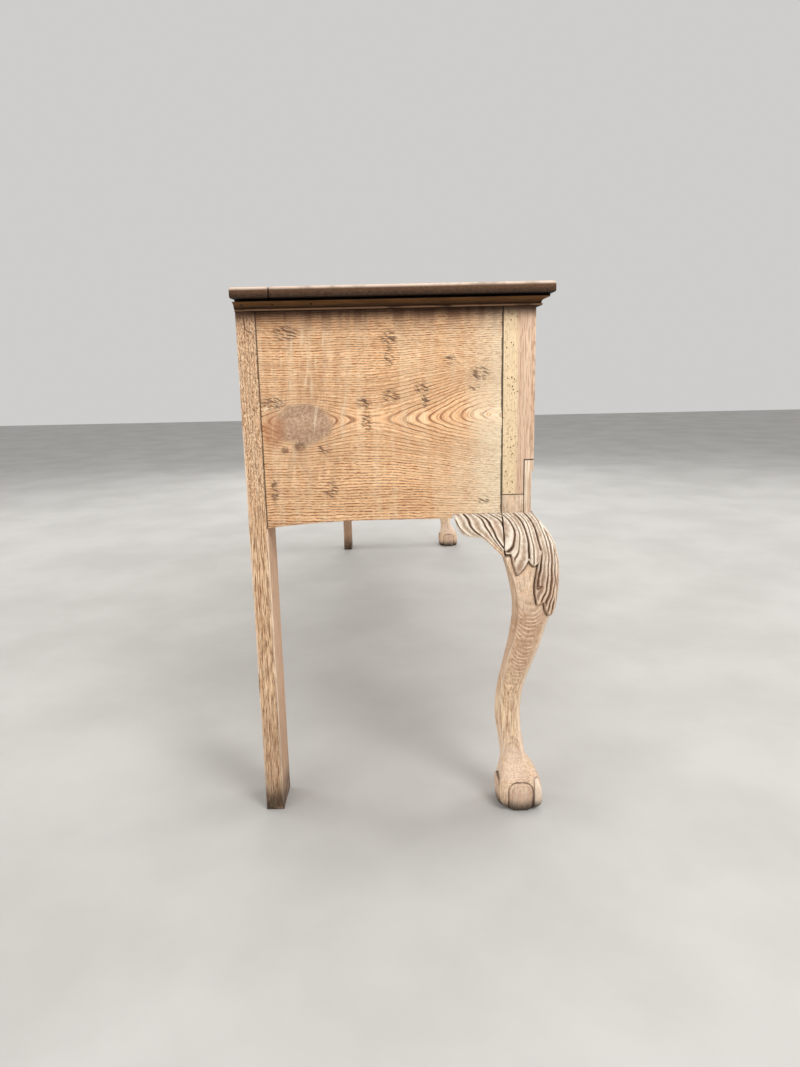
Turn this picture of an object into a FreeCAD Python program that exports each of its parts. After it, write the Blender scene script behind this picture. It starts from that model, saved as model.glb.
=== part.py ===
import FreeCAD, Part
import math
import os

os.makedirs("parts", exist_ok=True)
Vector = FreeCAD.Vector

# Oak dresser base on carved cabriole legs, in millimetres.
# +X runs along the length, the drawers face -Y and the floor is at Z = 0.

# Overall sizes
body_length = 1950.0
body_depth = 445.0
total_height = 850.0

# Top
top_thickness = 16.0
top_end_overhang = 28.0
top_front_overhang = 24.0
top_back_overhang = 2.0
top_rear_board_width = 57.0
top_edge_radius = 5.0

# Moulding under the top
moulding_height = 13.0
moulding_projection = 17.0
moulding_waist = 6.0
moulding_fillet = 1.5
bead_height = 3.0
bead_projection = 8.0
end_moulding_gap = 3.5
moulding_chip_length = 15.0
moulding_chip_height = 3.7
moulding_chip_root = 3.0
nail_radius = 1.5
nail_depth = 6.0
nail_sink = 1.2
nail_height = 8.5
nail_rear_offsets = (12.0, 57.0, 114.0)
front_nail_count = 6
front_nail_inset = 90.0

# Frame of the carcass
stile_depth = 48.5
stile_width = 56.0
rear_leg_width = 29.5
rear_leg_thickness = 72.0
rail_depth = 55.0
top_rail_height = 34.0
drawer_rail_height = 22.0
rail_tenon_length = 20.0
rail_tenon_inset = 15.0
tenon_shoulder = 4.0
divider_width = 40.0
divider_tenon = 12.0

# End panels
panel_thickness = 18.0
panel_tongue_length = 8.0
panel_tongue_thickness = 7.0
panel_front_drop = 7.0
panel_rear_drop = 17.0
panel_curve_length = 170.0

# Back
back_board_thickness = 10.0
back_rebate = 10.0
back_top_rail_height = 40.0
back_bottom_rail_height = 40.0
back_rail_tenon = 25.0

# Front apron
apron_height = 83.0
apron_thickness = 11.5
apron_setback = 3.2
apron_lip = 18.0
apron_end_run = 24.0
apron_rise = 34.0
apron_ogee_length = 76.0
apron_centre_width = 150.0
apron_centre_drop = 28.0

# Front legs, measured inward from the outer faces of the carcass
knee_height = 507.0
leg_block_height = 29.0
leg_tenon_length = 45.0
leg_tenon_size = 18.0
knee_projection = 40.0
shoulder_drop = 67.0
knee_drop = 102.0
ankle_height = 150.0
ankle_outer = 11.5
ankle_inner = 52.6
foot_outer = -24.5
foot_inner = 49.0
ball_radius = 30.0
ball_centre_height = 28.0
talon_radius = 9.0
talon_reach = 38.5
talon_knuckle_height = 30.0

# Ears glued beside the knees
ear_length = 72.5
ear_height = 63.0
ear_tip_height = 17.0
ear_bulge = 24.0
ear_tip_bulge = 8.0
ear_thickness = 20.0
ear_end_gap = 4.0
glue_line = 0.2
glue_trim = 3.0

# Drawers
drawer_rear_room = 15.5
drawer_front_thickness = 22.0
drawer_lip_thickness = 8.0
drawer_lip_overlap = 7.0
drawer_lip_radius = 5.0
drawer_lip_gap = 0.3
drawer_gap = 1.5
drawer_running_gap = 0.3
drawer_head_room = 6.0
drawer_side_thickness = 12.0
drawer_back_thickness = 12.0
drawer_back_drop = 14.0
drawer_bottom_thickness = 8.0
drawer_bottom_height = 9.0
drawer_groove_depth = 6.0
dovetail_count = 4
dovetail_length = 9.0
dovetail_space = 12.0
dovetail_flare = 2.5

# Drawer runners and kickers
runner_margin = 10.0
guide_height = 20.0

# Brass handles
handle_inset = 185.0
handle_spacing = 84.0
rose_radius = 13.0
rose_thickness = 2.0
post_neck_radius = 4.2
post_head_radius = 6.5
post_standoff = 15.0
post_shank_radius = 2.6
post_shank_tail = 6.0
nut_radius = 7.5
nut_thickness = 3.5
bail_radius = 2.4
bail_clearance = 0.05
bail_pin_end = 4.0
bail_shoulder = 16.0
bail_neck_drop = 17.0
bail_inset = 8.0
bail_drop = 33.0
bail_bend_radius = 8.0

# Places worked out from the sizes above
left = -body_length / 2
right = body_length / 2
front = (max(knee_projection, top_front_overhang) - body_depth - top_back_overhang) / 2
back = front + body_depth
under_top = total_height - top_thickness
stile_back = front + stile_depth
rear_leg_front = back - rear_leg_width
rail_back = front + rail_depth
back_board_front = back - back_board_thickness
leg_block = stile_depth
leg_joint = knee_height + leg_block_height
apron_top = knee_height + apron_height
apron_front = front + apron_setback
apron_back = apron_front + apron_thickness
panel_front_bottom = knee_height - panel_front_drop
panel_rear_bottom = knee_height - panel_rear_drop
opening_bottom = apron_top + drawer_rail_height
opening_top = under_top - top_rail_height
opening_height = opening_top - opening_bottom
opening_width = (body_length - 2 * stile_width - 2 * divider_width) / 3
runner_reach = drawer_gap + drawer_side_thickness + runner_margin
moulding_bottom = under_top - end_moulding_gap - moulding_height
drawer_names = ("left", "middle", "right")
opening_lefts = [left + stile_width + index * (opening_width + divider_width) for index in range(3)]


def box(x0, x1, y0, y1, z0, z1):
    return Part.makeBox(x1 - x0, y1 - y0, z1 - z0, Vector(x0, y0, z0))


def solid_of(edges, direction):
    return Part.Face(Part.Wire(edges)).extrude(direction)


def line(start, end):
    return Part.LineSegment(start, end).toShape()


def arc(start, middle, end):
    return Part.Arc(start, middle, end).toShape()


def polyline(points):
    return [line(start, end) for start, end in zip(points, points[1:])]


def mirrored(shape):
    return shape.mirror(Vector(0, 0, 0), Vector(1, 0, 0))


def save(name, shape):
    shape.exportStep("parts/" + name + ".step")
    print(name, "solids", len(shape.Solids), "valid", shape.isValid())


def save_pair(name, shape):
    save(name + "_left", shape)
    save(name + "_right", mirrored(shape))


def tongue_left():
    inset = (panel_thickness - panel_tongue_thickness) / 2
    x0 = left + inset
    x1 = x0 + panel_tongue_thickness
    front_tongue = box(x0, x1, stile_back - panel_tongue_length, stile_back, leg_joint, under_top)
    rear_tongue = box(x0, x1, rear_leg_front, rear_leg_front + panel_tongue_length,
                      panel_rear_bottom, under_top)
    return front_tongue, rear_tongue


def rail_tenon_left(bottom, height):
    x0 = left + stile_width - rail_tenon_length
    return box(x0, left + stile_width, front + rail_tenon_inset, rail_back - rail_tenon_inset,
               bottom + tenon_shoulder, bottom + height - tenon_shoulder)


def back_rail_tenon_left(bottom, height):
    x1 = left + rear_leg_thickness
    return box(x1 - back_rail_tenon, x1, rear_leg_front + tenon_shoulder, back_board_front - tenon_shoulder,
               bottom + tenon_shoulder, bottom + height - tenon_shoulder)


def leg_tenon_left():
    x0 = left + (leg_block - leg_tenon_size) / 2
    y0 = (apron_back + stile_back - leg_tenon_size) / 2
    return box(x0, x0 + leg_tenon_size, y0, y0 + leg_tenon_size, leg_joint, leg_joint + leg_tenon_length)


# Nails that hold the moulding
def nail_face():
    rise = (nail_height - bead_height) / (moulding_height - moulding_fillet - bead_height)
    cove_depth = (moulding_projection - moulding_waist) * (1 - math.sqrt(1 - rise ** 2))
    return moulding_waist + cove_depth - nail_sink


def end_nails_left(outer, inner):
    z = moulding_bottom + nail_height
    starts = [Vector(left - outer, back - offset, z) for offset in nail_rear_offsets]
    return [Part.makeCylinder(nail_radius, outer + inner, start, Vector(1, 0, 0)) for start in starts]


def front_nails(outer, inner):
    z = moulding_bottom + nail_height
    step = (body_length - 2 * front_nail_inset) / (front_nail_count - 1)
    starts = [Vector(left + front_nail_inset + index * step, front - outer, z)
              for index in range(front_nail_count)]
    return [Part.makeCylinder(nail_radius, outer + inner, start, Vector(0, 1, 0)) for start in starts]


def moulding_nails():
    ends = end_nails_left(nail_face(), nail_depth)
    nails = ends + [mirrored(nail) for nail in ends] + front_nails(nail_face(), nail_depth)
    return Part.makeCompound(nails)


# Top boards
def top_boards():
    x0 = left - top_end_overhang
    x1 = right + top_end_overhang
    y0 = front - top_front_overhang
    y1 = back + top_back_overhang
    whole = box(x0, x1, y0, y1, under_top, total_height)
    rounded = [edge for edge in whole.Edges
               if abs(edge.CenterOfMass.z - total_height) < 0.01 and edge.CenterOfMass.y < y1 - 0.01]
    whole = whole.makeFillet(top_edge_radius, rounded)
    joint = y1 - top_rear_board_width
    rear_side = box(x0 - 1, x1 + 1, joint, y1 + 1, under_top - 1, total_height + 1)
    return whole.common(rear_side), whole.cut(rear_side)


# Cove moulding, drawn outward from the carcass face and upward from its lower edge
def moulding_profile(height, place):
    cove_top = moulding_height - moulding_fillet
    bend = math.sqrt(0.5)
    cove_middle = (moulding_waist + (moulding_projection - moulding_waist) * (1 - bend),
                   bead_height + (cove_top - bead_height) * bend)
    bead_foot = place(moulding_waist, 0)
    bead_top = place(moulding_waist, bead_height)
    cove_end = place(moulding_projection, cove_top)
    edges = [line(place(0, 0), bead_foot),
             arc(bead_foot, place(bead_projection, bead_height / 2), bead_top),
             arc(bead_top, place(*cove_middle), cove_end),
             line(cove_end, place(moulding_projection, height)),
             line(place(moulding_projection, height), place(0, height)),
             line(place(0, height), place(0, 0))]
    return edges


def end_moulding_left():
    start = front - 2 * moulding_projection
    edges = moulding_profile(moulding_height, lambda out, up: Vector(left - out, start, moulding_bottom + up))
    run = solid_of(edges, Vector(0, back - start, 0))
    reach = 2 * moulding_projection
    front_side = solid_of(polyline([Vector(left, front, 0), Vector(left - reach, front - reach, 0),
                                    Vector(left, front - reach, 0), Vector(left, front, 0)]),
                          Vector(0, 0, total_height))
    run = run.cut(front_side)
    return run.cut(Part.makeCompound(end_nails_left(2 * moulding_projection, 0)))


def chipped(moulding):
    chip = box(left - 2 * moulding_projection, left - moulding_chip_root, back - moulding_chip_length, back,
               moulding_bottom, moulding_bottom + moulding_chip_height)
    return moulding.cut(chip)


def front_moulding():
    height = moulding_height + end_moulding_gap
    start = left - 2 * moulding_projection
    edges = moulding_profile(height, lambda out, up: Vector(start, front - out, moulding_bottom + up))
    run = solid_of(edges, Vector(right - left + 4 * moulding_projection, 0, 0))
    reach = 2 * moulding_projection
    left_side = solid_of(polyline([Vector(left, front, 0), Vector(left - reach, front - reach, 0),
                                   Vector(left - reach, front, 0), Vector(left, front, 0)]),
                         Vector(0, 0, total_height))
    run = run.cut(left_side).cut(mirrored(left_side))
    return run.cut(Part.makeCompound(front_nails(2 * moulding_projection, 0)))


# Posts of the carcass
def rear_leg_left():
    leg = box(left, left + rear_leg_thickness, rear_leg_front, back, 0, under_top)
    rebate = box(left + rear_leg_thickness - back_rebate, left + rear_leg_thickness, back_board_front, back,
                 panel_rear_bottom, under_top)
    cuts = [rebate, tongue_left()[1],
            back_rail_tenon_left(under_top - back_top_rail_height, back_top_rail_height),
            back_rail_tenon_left(opening_bottom - back_bottom_rail_height, back_bottom_rail_height)]
    cuts += end_nails_left(0, nail_depth)
    return leg.cut(cuts)


def front_stile_left():
    stile = box(left, left + stile_width, front, stile_back, leg_joint, under_top)
    apron_housing = box(left, left + stile_width, apron_front, apron_back, leg_joint, apron_top)
    below_lip = box(left, left + stile_width, front, apron_front, leg_joint, apron_top - apron_lip)
    cuts = [apron_housing, below_lip, tongue_left()[0], leg_tenon_left(),
            rail_tenon_left(opening_top, top_rail_height), rail_tenon_left(apron_top, drawer_rail_height)]
    return stile.cut(cuts)


# End panel with its shaped lower edge, stepped up over the ear
def side_panel_left():
    ear_end = stile_back + glue_line + ear_length + ear_end_gap
    curve_end = rear_leg_front - panel_curve_length
    rise = panel_front_bottom - panel_rear_bottom

    def place(y, z):
        return Vector(left, y, z)

    rear_corner = place(rear_leg_front, panel_rear_bottom)
    curve_middle = place(rear_leg_front - panel_curve_length / 2, panel_front_bottom - rise / 4)
    curve_front = place(curve_end, panel_front_bottom)
    edges = polyline([curve_front, place(ear_end, panel_front_bottom), place(ear_end, knee_height),
                      place(stile_back, knee_height), place(stile_back, under_top),
                      place(rear_leg_front, under_top), rear_corner])
    edges.append(arc(rear_corner, curve_middle, curve_front))
    panel = solid_of(edges, Vector(panel_thickness, 0, 0)).fuse(list(tongue_left())).removeSplitter()
    return panel.cut(end_nails_left(0, nail_depth))


# Cabriole front leg, cut to the same curve on both faces of a square blank
def rounded_square(height, outer, inner, radius):
    bend = radius * (1 - math.sqrt(0.5))

    def place(x, y):
        return Vector(left + x, front + y, height)

    near = outer + radius
    far = inner - radius
    near_bend = outer + bend
    far_bend = inner - bend
    edges = [line(place(near, outer), place(far, outer)),
             arc(place(far, outer), place(far_bend, near_bend), place(inner, near)),
             line(place(inner, near), place(inner, far)),
             arc(place(inner, far), place(far_bend, far_bend), place(far, inner)),
             line(place(far, inner), place(near, inner)),
             arc(place(near, inner), place(near_bend, far_bend), place(outer, far)),
             line(place(outer, far), place(outer, near)),
             arc(place(outer, near), place(near_bend, near_bend), place(near, outer))]
    return Part.Wire(edges)


def leg_sections():
    knee = knee_height - knee_drop
    foot_middle = (foot_outer + foot_inner) / 2
    calf = knee - ankle_height
    stations = [
        (knee_height, 0.0, leg_block + glue_trim, 3.0),
        (knee_height - 15.0, 27.5 - knee_projection, leg_block + glue_trim, 7.0),
        (knee_height - 35.0, 13.0 - knee_projection, leg_block + glue_trim, 13.0),
        (knee_height - shoulder_drop, 2.3 - knee_projection, leg_block - 2.5, 20.0),
        (knee, -knee_projection, leg_block - 11.2, 25.0),
        (knee - 0.18 * calf, 3.6 - knee_projection, leg_block - 18.4, 25.0),
        (knee - 0.38 * calf, ankle_outer - 34.3, ankle_inner - 19.7, 21.0),
        (knee - 0.59 * calf, ankle_outer - 16.4, ankle_inner - 11.1, 18.0),
        (knee - 0.80 * calf, ankle_outer - 2.9, ankle_inner - 2.3, 16.0),
        (ankle_height, ankle_outer, ankle_inner, 15.0),
        (0.70 * ankle_height, ankle_outer - 4.7, ankle_inner - 6.3, 14.0),
        (0.52 * ankle_height, ankle_outer - 12.5, ankle_inner - 9.3, 14.0),
        (0.40 * ankle_height, foot_middle - 24.0, foot_middle + 26.0, 17.0),
        (0.25 * ankle_height, foot_middle - 20.0, foot_middle + 20.0, 17.0),
    ]
    return [rounded_square(*station) for station in stations]


def beside_glue_faces():
    bottom = knee_height - shoulder_drop
    reach = leg_block + knee_projection
    beside = box(left + leg_block, left + reach, front - reach, front + reach, bottom, knee_height)
    behind = box(left - reach, left + reach, stile_back, front + reach, bottom, knee_height)
    return [beside, behind]


def talon(angle):
    foot_middle = (foot_outer + foot_inner) / 2
    stations = [(talon_knuckle_height + 50.0, talon_reach - 38.0, talon_radius + 3.0),
                (talon_knuckle_height + 34.0, talon_reach - 22.6, talon_radius + 2.0),
                (talon_knuckle_height + 16.0, talon_reach - 7.7, talon_radius + 1.3),
                (talon_knuckle_height, talon_reach, talon_radius),
                (talon_knuckle_height - 18.0, talon_reach - 3.5, talon_radius - 2.0),
                (1.0, talon_reach - 10.0, talon_radius - 4.0)]
    outward = Vector(math.cos(angle), math.sin(angle), 0)
    rings = []
    for height, reach, radius in stations:
        middle = Vector(left + foot_middle, front + foot_middle, height) + outward * reach
        rings.append(Part.Wire(Part.makeCircle(radius, middle)))
    return Part.makeLoft(rings, True, False)


def front_leg_left():
    foot_middle = (foot_outer + foot_inner) / 2
    shaft = Part.makeLoft(leg_sections(), True, False).cut(beside_glue_faces())
    block = box(left, left + leg_block, apron_back, stile_back, knee_height, leg_joint)
    ball = Part.makeSphere(ball_radius, Vector(left + foot_middle, front + foot_middle, ball_centre_height))
    below_floor = Part.makeCylinder(2 * ball_radius, 2 * ball_radius, ball.BoundBox.Center, Vector(0, 0, -1))
    below_floor.translate(Vector(0, 0, -ball_centre_height))
    talons = [talon(math.radians(45 + 90 * index)) for index in range(4)]
    leg = shaft.fuse([ball.cut(below_floor), block, leg_tenon_left()] + talons)
    return leg.removeSplitter()


# Carved ear beside the knee, under the end panel
def end_ear_left():
    y0 = stile_back + glue_line
    bottom = knee_height - ear_height
    tip_bottom = knee_height - ear_tip_height

    def place(along, z):
        return Vector(left - ear_bulge, y0 + along, z)

    root = place(0, bottom)
    hollow_end = place(0.38 * ear_length, bottom + 0.33 * ear_height)
    swell_start = place(0.74 * ear_length, bottom + 0.40 * ear_height)
    tip = place(ear_length, tip_bottom)
    edges = [arc(root, place(0.13 * ear_length, bottom + 0.23 * ear_height), hollow_end),
             line(hollow_end, swell_start),
             arc(swell_start, place(0.92 * ear_length, bottom + 0.53 * ear_height), tip)]
    edges += polyline([tip, place(ear_length, knee_height), place(0, knee_height), root])
    outline = solid_of(edges, Vector(ear_bulge + ear_thickness, 0, 0))

    def profile(along, bulge):
        y = y0 + along
        inner = left + ear_thickness
        outer = left - bulge
        shoulder = Vector(left - 0.75 * bulge, y, knee_height - 0.22 * ear_height)
        points = [Vector(inner, y, knee_height), Vector(left, y, knee_height)]
        widest = Vector(outer, y, knee_height - 0.55 * ear_height)
        lower = [widest, Vector(outer, y, bottom), Vector(inner, y, bottom), Vector(inner, y, knee_height)]
        return Part.Wire(polyline(points) + [arc(points[1], shoulder, lower[0])] + polyline(lower))

    bulge = Part.makeLoft([profile(0, ear_bulge), profile(ear_length, ear_tip_bulge)], True, True)
    return outline.common(bulge)


def front_ear_left():
    corner = Vector(left, front, 0)
    return end_ear_left().mirror(corner, Vector(1, -1, 0))


# Shaped apron across the front
def ogee(start, end):
    run = end.x - start.x
    rise = end.z - start.z
    radius = (run ** 2 + rise ** 2) / (4 * abs(rise))
    half_turn = math.atan2(abs(rise), abs(run))
    along = radius * math.sin(half_turn)
    up = math.copysign(radius * (1 - math.cos(half_turn)), rise)
    middle = (start + end) * 0.5
    return [arc(start, start + Vector(along, 0, up), middle), arc(middle, end - Vector(along, 0, up), end)]


def front_apron():
    run_end = left + leg_block + glue_line + ear_length + apron_end_run
    arch = knee_height + apron_rise
    centre = arch - apron_centre_drop

    def place(x, z):
        return Vector(x, apron_front, z)

    centre_left = -apron_centre_width / 2
    low = place(run_end, knee_height)
    arch_start = place(run_end + apron_ogee_length, arch)
    arch_end = place(centre_left - apron_ogee_length, arch)
    drop = place(centre_left, centre)
    edges = [line(place(left, knee_height), low)] + ogee(low, arch_start) + [line(arch_start, arch_end)]
    edges += ogee(arch_end, drop) + [line(drop, place(-centre_left, centre))]
    edges += ogee(place(-centre_left, centre), place(-arch_end.x, arch))
    edges += [line(place(-arch_end.x, arch), place(-arch_start.x, arch))]
    edges += ogee(place(-arch_start.x, arch), place(-run_end, knee_height))
    edges += polyline([place(-run_end, knee_height), place(right, knee_height), place(right, apron_top),
                       place(left, apron_top), place(left, knee_height)])
    return solid_of(edges, Vector(0, apron_thickness, 0))


# Rails and dividers of the front
def divider(index):
    x0 = opening_lefts[index] + opening_width
    post = box(x0, x0 + divider_width, front, rail_back, opening_bottom, opening_top)
    tenon = box(x0 + tenon_shoulder, x0 + divider_width - tenon_shoulder,
                front + rail_tenon_inset, rail_back - rail_tenon_inset,
                opening_bottom - divider_tenon, opening_top + divider_tenon)
    return post.fuse(tenon).removeSplitter()


def dividers():
    return [divider(0), divider(1)]


def front_top_rail():
    tenon = rail_tenon_left(opening_top, top_rail_height)
    rail = box(left + stile_width, right - stile_width, front, rail_back, opening_top, under_top)
    rail = rail.fuse([tenon, mirrored(tenon)]).removeSplitter()
    return rail.cut(dividers() + front_nails(0, nail_depth))


def drawer_rail():
    tenon = rail_tenon_left(apron_top, drawer_rail_height)
    rail = box(left + stile_width, right - stile_width, front, rail_back, apron_top, opening_bottom)
    lip = box(left + stile_width, right - stile_width, front, apron_front, apron_top - apron_lip, apron_top)
    return rail.fuse([lip, tenon, mirrored(tenon)]).removeSplitter().cut(dividers())


# Runners carry the drawers, and kickers keep them from tipping
def runner_end_left():
    guide_side = left + stile_width
    runner = box(left + panel_thickness, guide_side + runner_reach, rail_back, rear_leg_front,
                 apron_top, opening_bottom)
    guide = box(left + panel_thickness, guide_side, rail_back, rear_leg_front,
                opening_bottom, opening_bottom + guide_height)
    return runner.fuse(guide).removeSplitter()


def runner_centre_left():
    x0 = opening_lefts[0] + opening_width
    x1 = x0 + divider_width
    runner = box(x0 - runner_reach, x1 + runner_reach, rail_back, rear_leg_front, apron_top, opening_bottom)
    guide = box(x0, x1, rail_back, rear_leg_front, opening_bottom, opening_bottom + guide_height)
    return runner.fuse(guide).removeSplitter()


def kickers():
    divider_left = opening_lefts[0] + opening_width
    end = box(left + panel_thickness, left + stile_width + runner_reach, rail_back, rear_leg_front,
              opening_top, under_top)
    centre = box(divider_left - runner_reach, divider_left + divider_width + runner_reach,
                 rail_back, rear_leg_front, opening_top, under_top)
    return Part.makeCompound([end, centre, mirrored(centre), mirrored(end)])


# Back of the carcass
def back_rail(bottom, height):
    x0 = left + rear_leg_thickness
    tenon = back_rail_tenon_left(bottom, height)
    rail = box(x0, -x0, rear_leg_front, back_board_front, bottom, bottom + height)
    return rail.fuse([tenon, mirrored(tenon)]).removeSplitter()


def back_boards():
    x0 = left + rear_leg_thickness - back_rebate
    middle = (panel_rear_bottom + under_top) / 2
    lower = box(x0, -x0, back_board_front, back, panel_rear_bottom, middle)
    upper = box(x0, -x0, back_board_front, back, middle, under_top)
    return lower, upper


# Drawers
def dovetails(x0, x1, base, tip, bottom, height):
    pitch = height / dovetail_count
    neck = (pitch - dovetail_space) / 2
    wide = neck + dovetail_flare
    tails = []
    for index in range(dovetail_count):
        middle = bottom + pitch * (index + 0.5)
        outline = ((base, -neck), (tip, -wide), (tip, wide), (base, neck), (base, -neck))
        points = [Vector(x0, y, middle + up) for y, up in outline]
        tails.append(solid_of(polyline(points), Vector(x1 - x0, 0, 0)))
    return tails


def drawer_front_blank(x0):
    x1 = x0 + opening_width
    face = front - drawer_lip_gap - drawer_lip_thickness
    lip_back = front - drawer_lip_gap
    lip = box(x0 - drawer_lip_overlap, x1 + drawer_lip_overlap, face, lip_back,
              opening_bottom - drawer_lip_overlap, opening_top + drawer_lip_overlap)
    edges = [edge for edge in lip.Edges if abs(edge.CenterOfMass.y - face) < 0.01]
    lip = lip.makeFillet(drawer_lip_radius, edges)
    body = box(x0 + drawer_gap, x1 - drawer_gap, lip_back, face + drawer_front_thickness,
               opening_bottom + drawer_gap, opening_top - drawer_gap)
    return lip.fuse(body).removeSplitter()


def handle_middles(x0):
    return [x0 + handle_inset, x0 + opening_width - handle_inset]


def post_places(x0):
    return [middle + side * handle_spacing / 2 for middle in handle_middles(x0) for side in (-1, 1)]


def drawer_boards(x0):
    x1 = x0 + opening_width
    inside = front - drawer_lip_gap - drawer_lip_thickness + drawer_front_thickness
    end = rear_leg_front - drawer_rear_room
    bottom = opening_bottom + drawer_running_gap
    height = opening_height - drawer_head_room
    side_left = x0 + drawer_gap
    side_right = x1 - drawer_gap - drawer_side_thickness
    floor_bottom = bottom + drawer_bottom_height
    floor_top = floor_bottom + drawer_bottom_thickness
    groove = drawer_side_thickness - drawer_groove_depth
    floor = box(side_left + groove, x1 - drawer_gap - groove, inside - drawer_groove_depth, end,
                floor_bottom, floor_top)
    back_board = box(side_left, x1 - drawer_gap, end - drawer_back_thickness, end,
                     floor_top, bottom + height - drawer_back_drop)
    front_board = drawer_front_blank(x0)
    boards = {}
    for side, start in (("left", side_left), ("right", side_right)):
        stop = start + drawer_side_thickness
        plain = box(start, stop, inside, end - drawer_back_thickness, bottom, bottom + height)
        tails = dovetails(start, stop, inside, inside - dovetail_length, bottom, height)
        tails += dovetails(start, stop, end - drawer_back_thickness, end, bottom, height)
        board = plain.fuse(tails).removeSplitter()
        front_board = front_board.cut(board)
        back_board = back_board.cut(board)
        boards["side_" + side] = board.cut(floor)
    shanks = [post_shank(x) for x in post_places(x0)]
    boards["front"] = front_board.cut([floor] + shanks)
    boards["back"] = back_board
    boards["bottom"] = floor
    return boards


# Brass handles
def handle_height():
    return (opening_bottom + opening_top) / 2 + bail_drop / 2


def handle_face():
    return front - drawer_lip_gap - drawer_lip_thickness


def post_shank(x):
    start = Vector(x, handle_face(), handle_height())
    length = drawer_front_thickness + nut_thickness + post_shank_tail
    return Part.makeCylinder(post_shank_radius, length, start, Vector(0, 1, 0))


def post(x):
    face = handle_face()
    z = handle_height()
    pivot = Vector(x, face - post_standoff, z)
    shank_end = face + drawer_front_thickness + nut_thickness + post_shank_tail
    head_start = pivot.y + math.sqrt(post_head_radius ** 2 - post_neck_radius ** 2)

    def place(radius, y):
        return Vector(x + radius, y, z)

    tip = place(0, pivot.y - post_head_radius)
    head_base = place(post_neck_radius, head_start)
    outline = [tip, place(0, shank_end), place(post_shank_radius, shank_end), place(post_shank_radius, face),
               place(rose_radius, face), place(rose_radius - rose_thickness, face - rose_thickness),
               place(post_neck_radius, face - rose_thickness), head_base]
    edges = polyline(outline) + [arc(head_base, place(post_head_radius, pivot.y), tip)]
    turned = Part.Face(Part.Wire(edges)).revolve(pivot, Vector(0, 1, 0), 360)
    eye = Part.makeCylinder(bail_radius + bail_clearance, 4 * post_head_radius,
                            pivot - Vector(2 * post_head_radius, 0, 0), Vector(1, 0, 0))
    return turned.cut(eye)


def nut(x):
    start = Vector(x, handle_face() + drawer_front_thickness, handle_height())
    disc = Part.makeCylinder(nut_radius, nut_thickness, start, Vector(0, 1, 0))
    return disc.cut(post_shank(x))


def rounded_path(points, radius):
    edges = []
    start = points[0]
    for before, corner, after in zip(points, points[1:], points[2:]):
        to_before = (before - corner).normalize()
        to_after = (after - corner).normalize()
        half = to_before.getAngle(to_after) / 2
        inward = (to_before + to_after).normalize()
        leave = corner + to_before * (radius / math.tan(half))
        join = corner + to_after * (radius / math.tan(half))
        edges += [line(start, leave), arc(leave, corner + inward * (radius / math.sin(half) - radius), join)]
        start = join
    edges.append(line(start, points[-1]))
    return Part.Wire(edges)


def bail(middle):
    pivot = Vector(middle, handle_face() - post_standoff, handle_height())
    half = handle_spacing / 2
    right_side = [(half - bail_pin_end, 0), (half + bail_shoulder, 0),
                  (half + bail_shoulder, -bail_neck_drop), (half - bail_inset, -bail_drop)]
    outline = [(-x, z) for x, z in right_side] + right_side[::-1]
    path = rounded_path([pivot + Vector(x, 0, z) for x, z in outline], bail_bend_radius)
    ring = Part.Wire(Part.makeCircle(bail_radius, pivot + Vector(bail_pin_end - half, 0, 0), Vector(1, 0, 0)))
    return path.makePipeShell([ring], True, False)


# Write every piece
rear_top, front_top = top_boards()
save("top_board_rear", rear_top)
save("top_board_front", front_top)
end_moulding = end_moulding_left()
save("end_moulding_left", chipped(end_moulding))
save("end_moulding_right", mirrored(end_moulding))
save("front_moulding", front_moulding())
save("moulding_nails", moulding_nails())
save_pair("rear_leg", rear_leg_left())
save_pair("front_stile", front_stile_left())
save_pair("side_panel", side_panel_left())
save_pair("front_leg", front_leg_left())
save_pair("end_ear", end_ear_left())
save_pair("front_ear", front_ear_left())
save("front_apron", front_apron())
save("front_top_rail", front_top_rail())
save("drawer_rail", drawer_rail())
save("divider_left", divider(0))
save("divider_right", divider(1))
save_pair("runner_end", runner_end_left())
save_pair("runner_centre", runner_centre_left())
save("kickers", kickers())
save("back_top_rail", back_rail(under_top - back_top_rail_height, back_top_rail_height))
save("back_bottom_rail", back_rail(opening_bottom - back_bottom_rail_height, back_bottom_rail_height))
back_lower, back_upper = back_boards()
save("back_board_lower", back_lower)
save("back_board_upper", back_upper)
for drawer_name, opening_left in zip(drawer_names, opening_lefts):
    prefix = drawer_name + "_drawer_"
    for board_name, board_shape in drawer_boards(opening_left).items():
        save(prefix + board_name, board_shape)
    places = post_places(opening_left)
    save(prefix + "handle_posts", Part.makeCompound([post(x) for x in places]))
    save(prefix + "handle_nuts", Part.makeCompound([nut(x) for x in places]))
    for bail_side, middle in zip(("left", "right"), handle_middles(opening_left)):
        save(prefix + "bail_" + bail_side, bail(middle))
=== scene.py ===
import itertools
import math

import bmesh
import bpy
import numpy as np
from mathutils import Matrix, Vector


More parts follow.
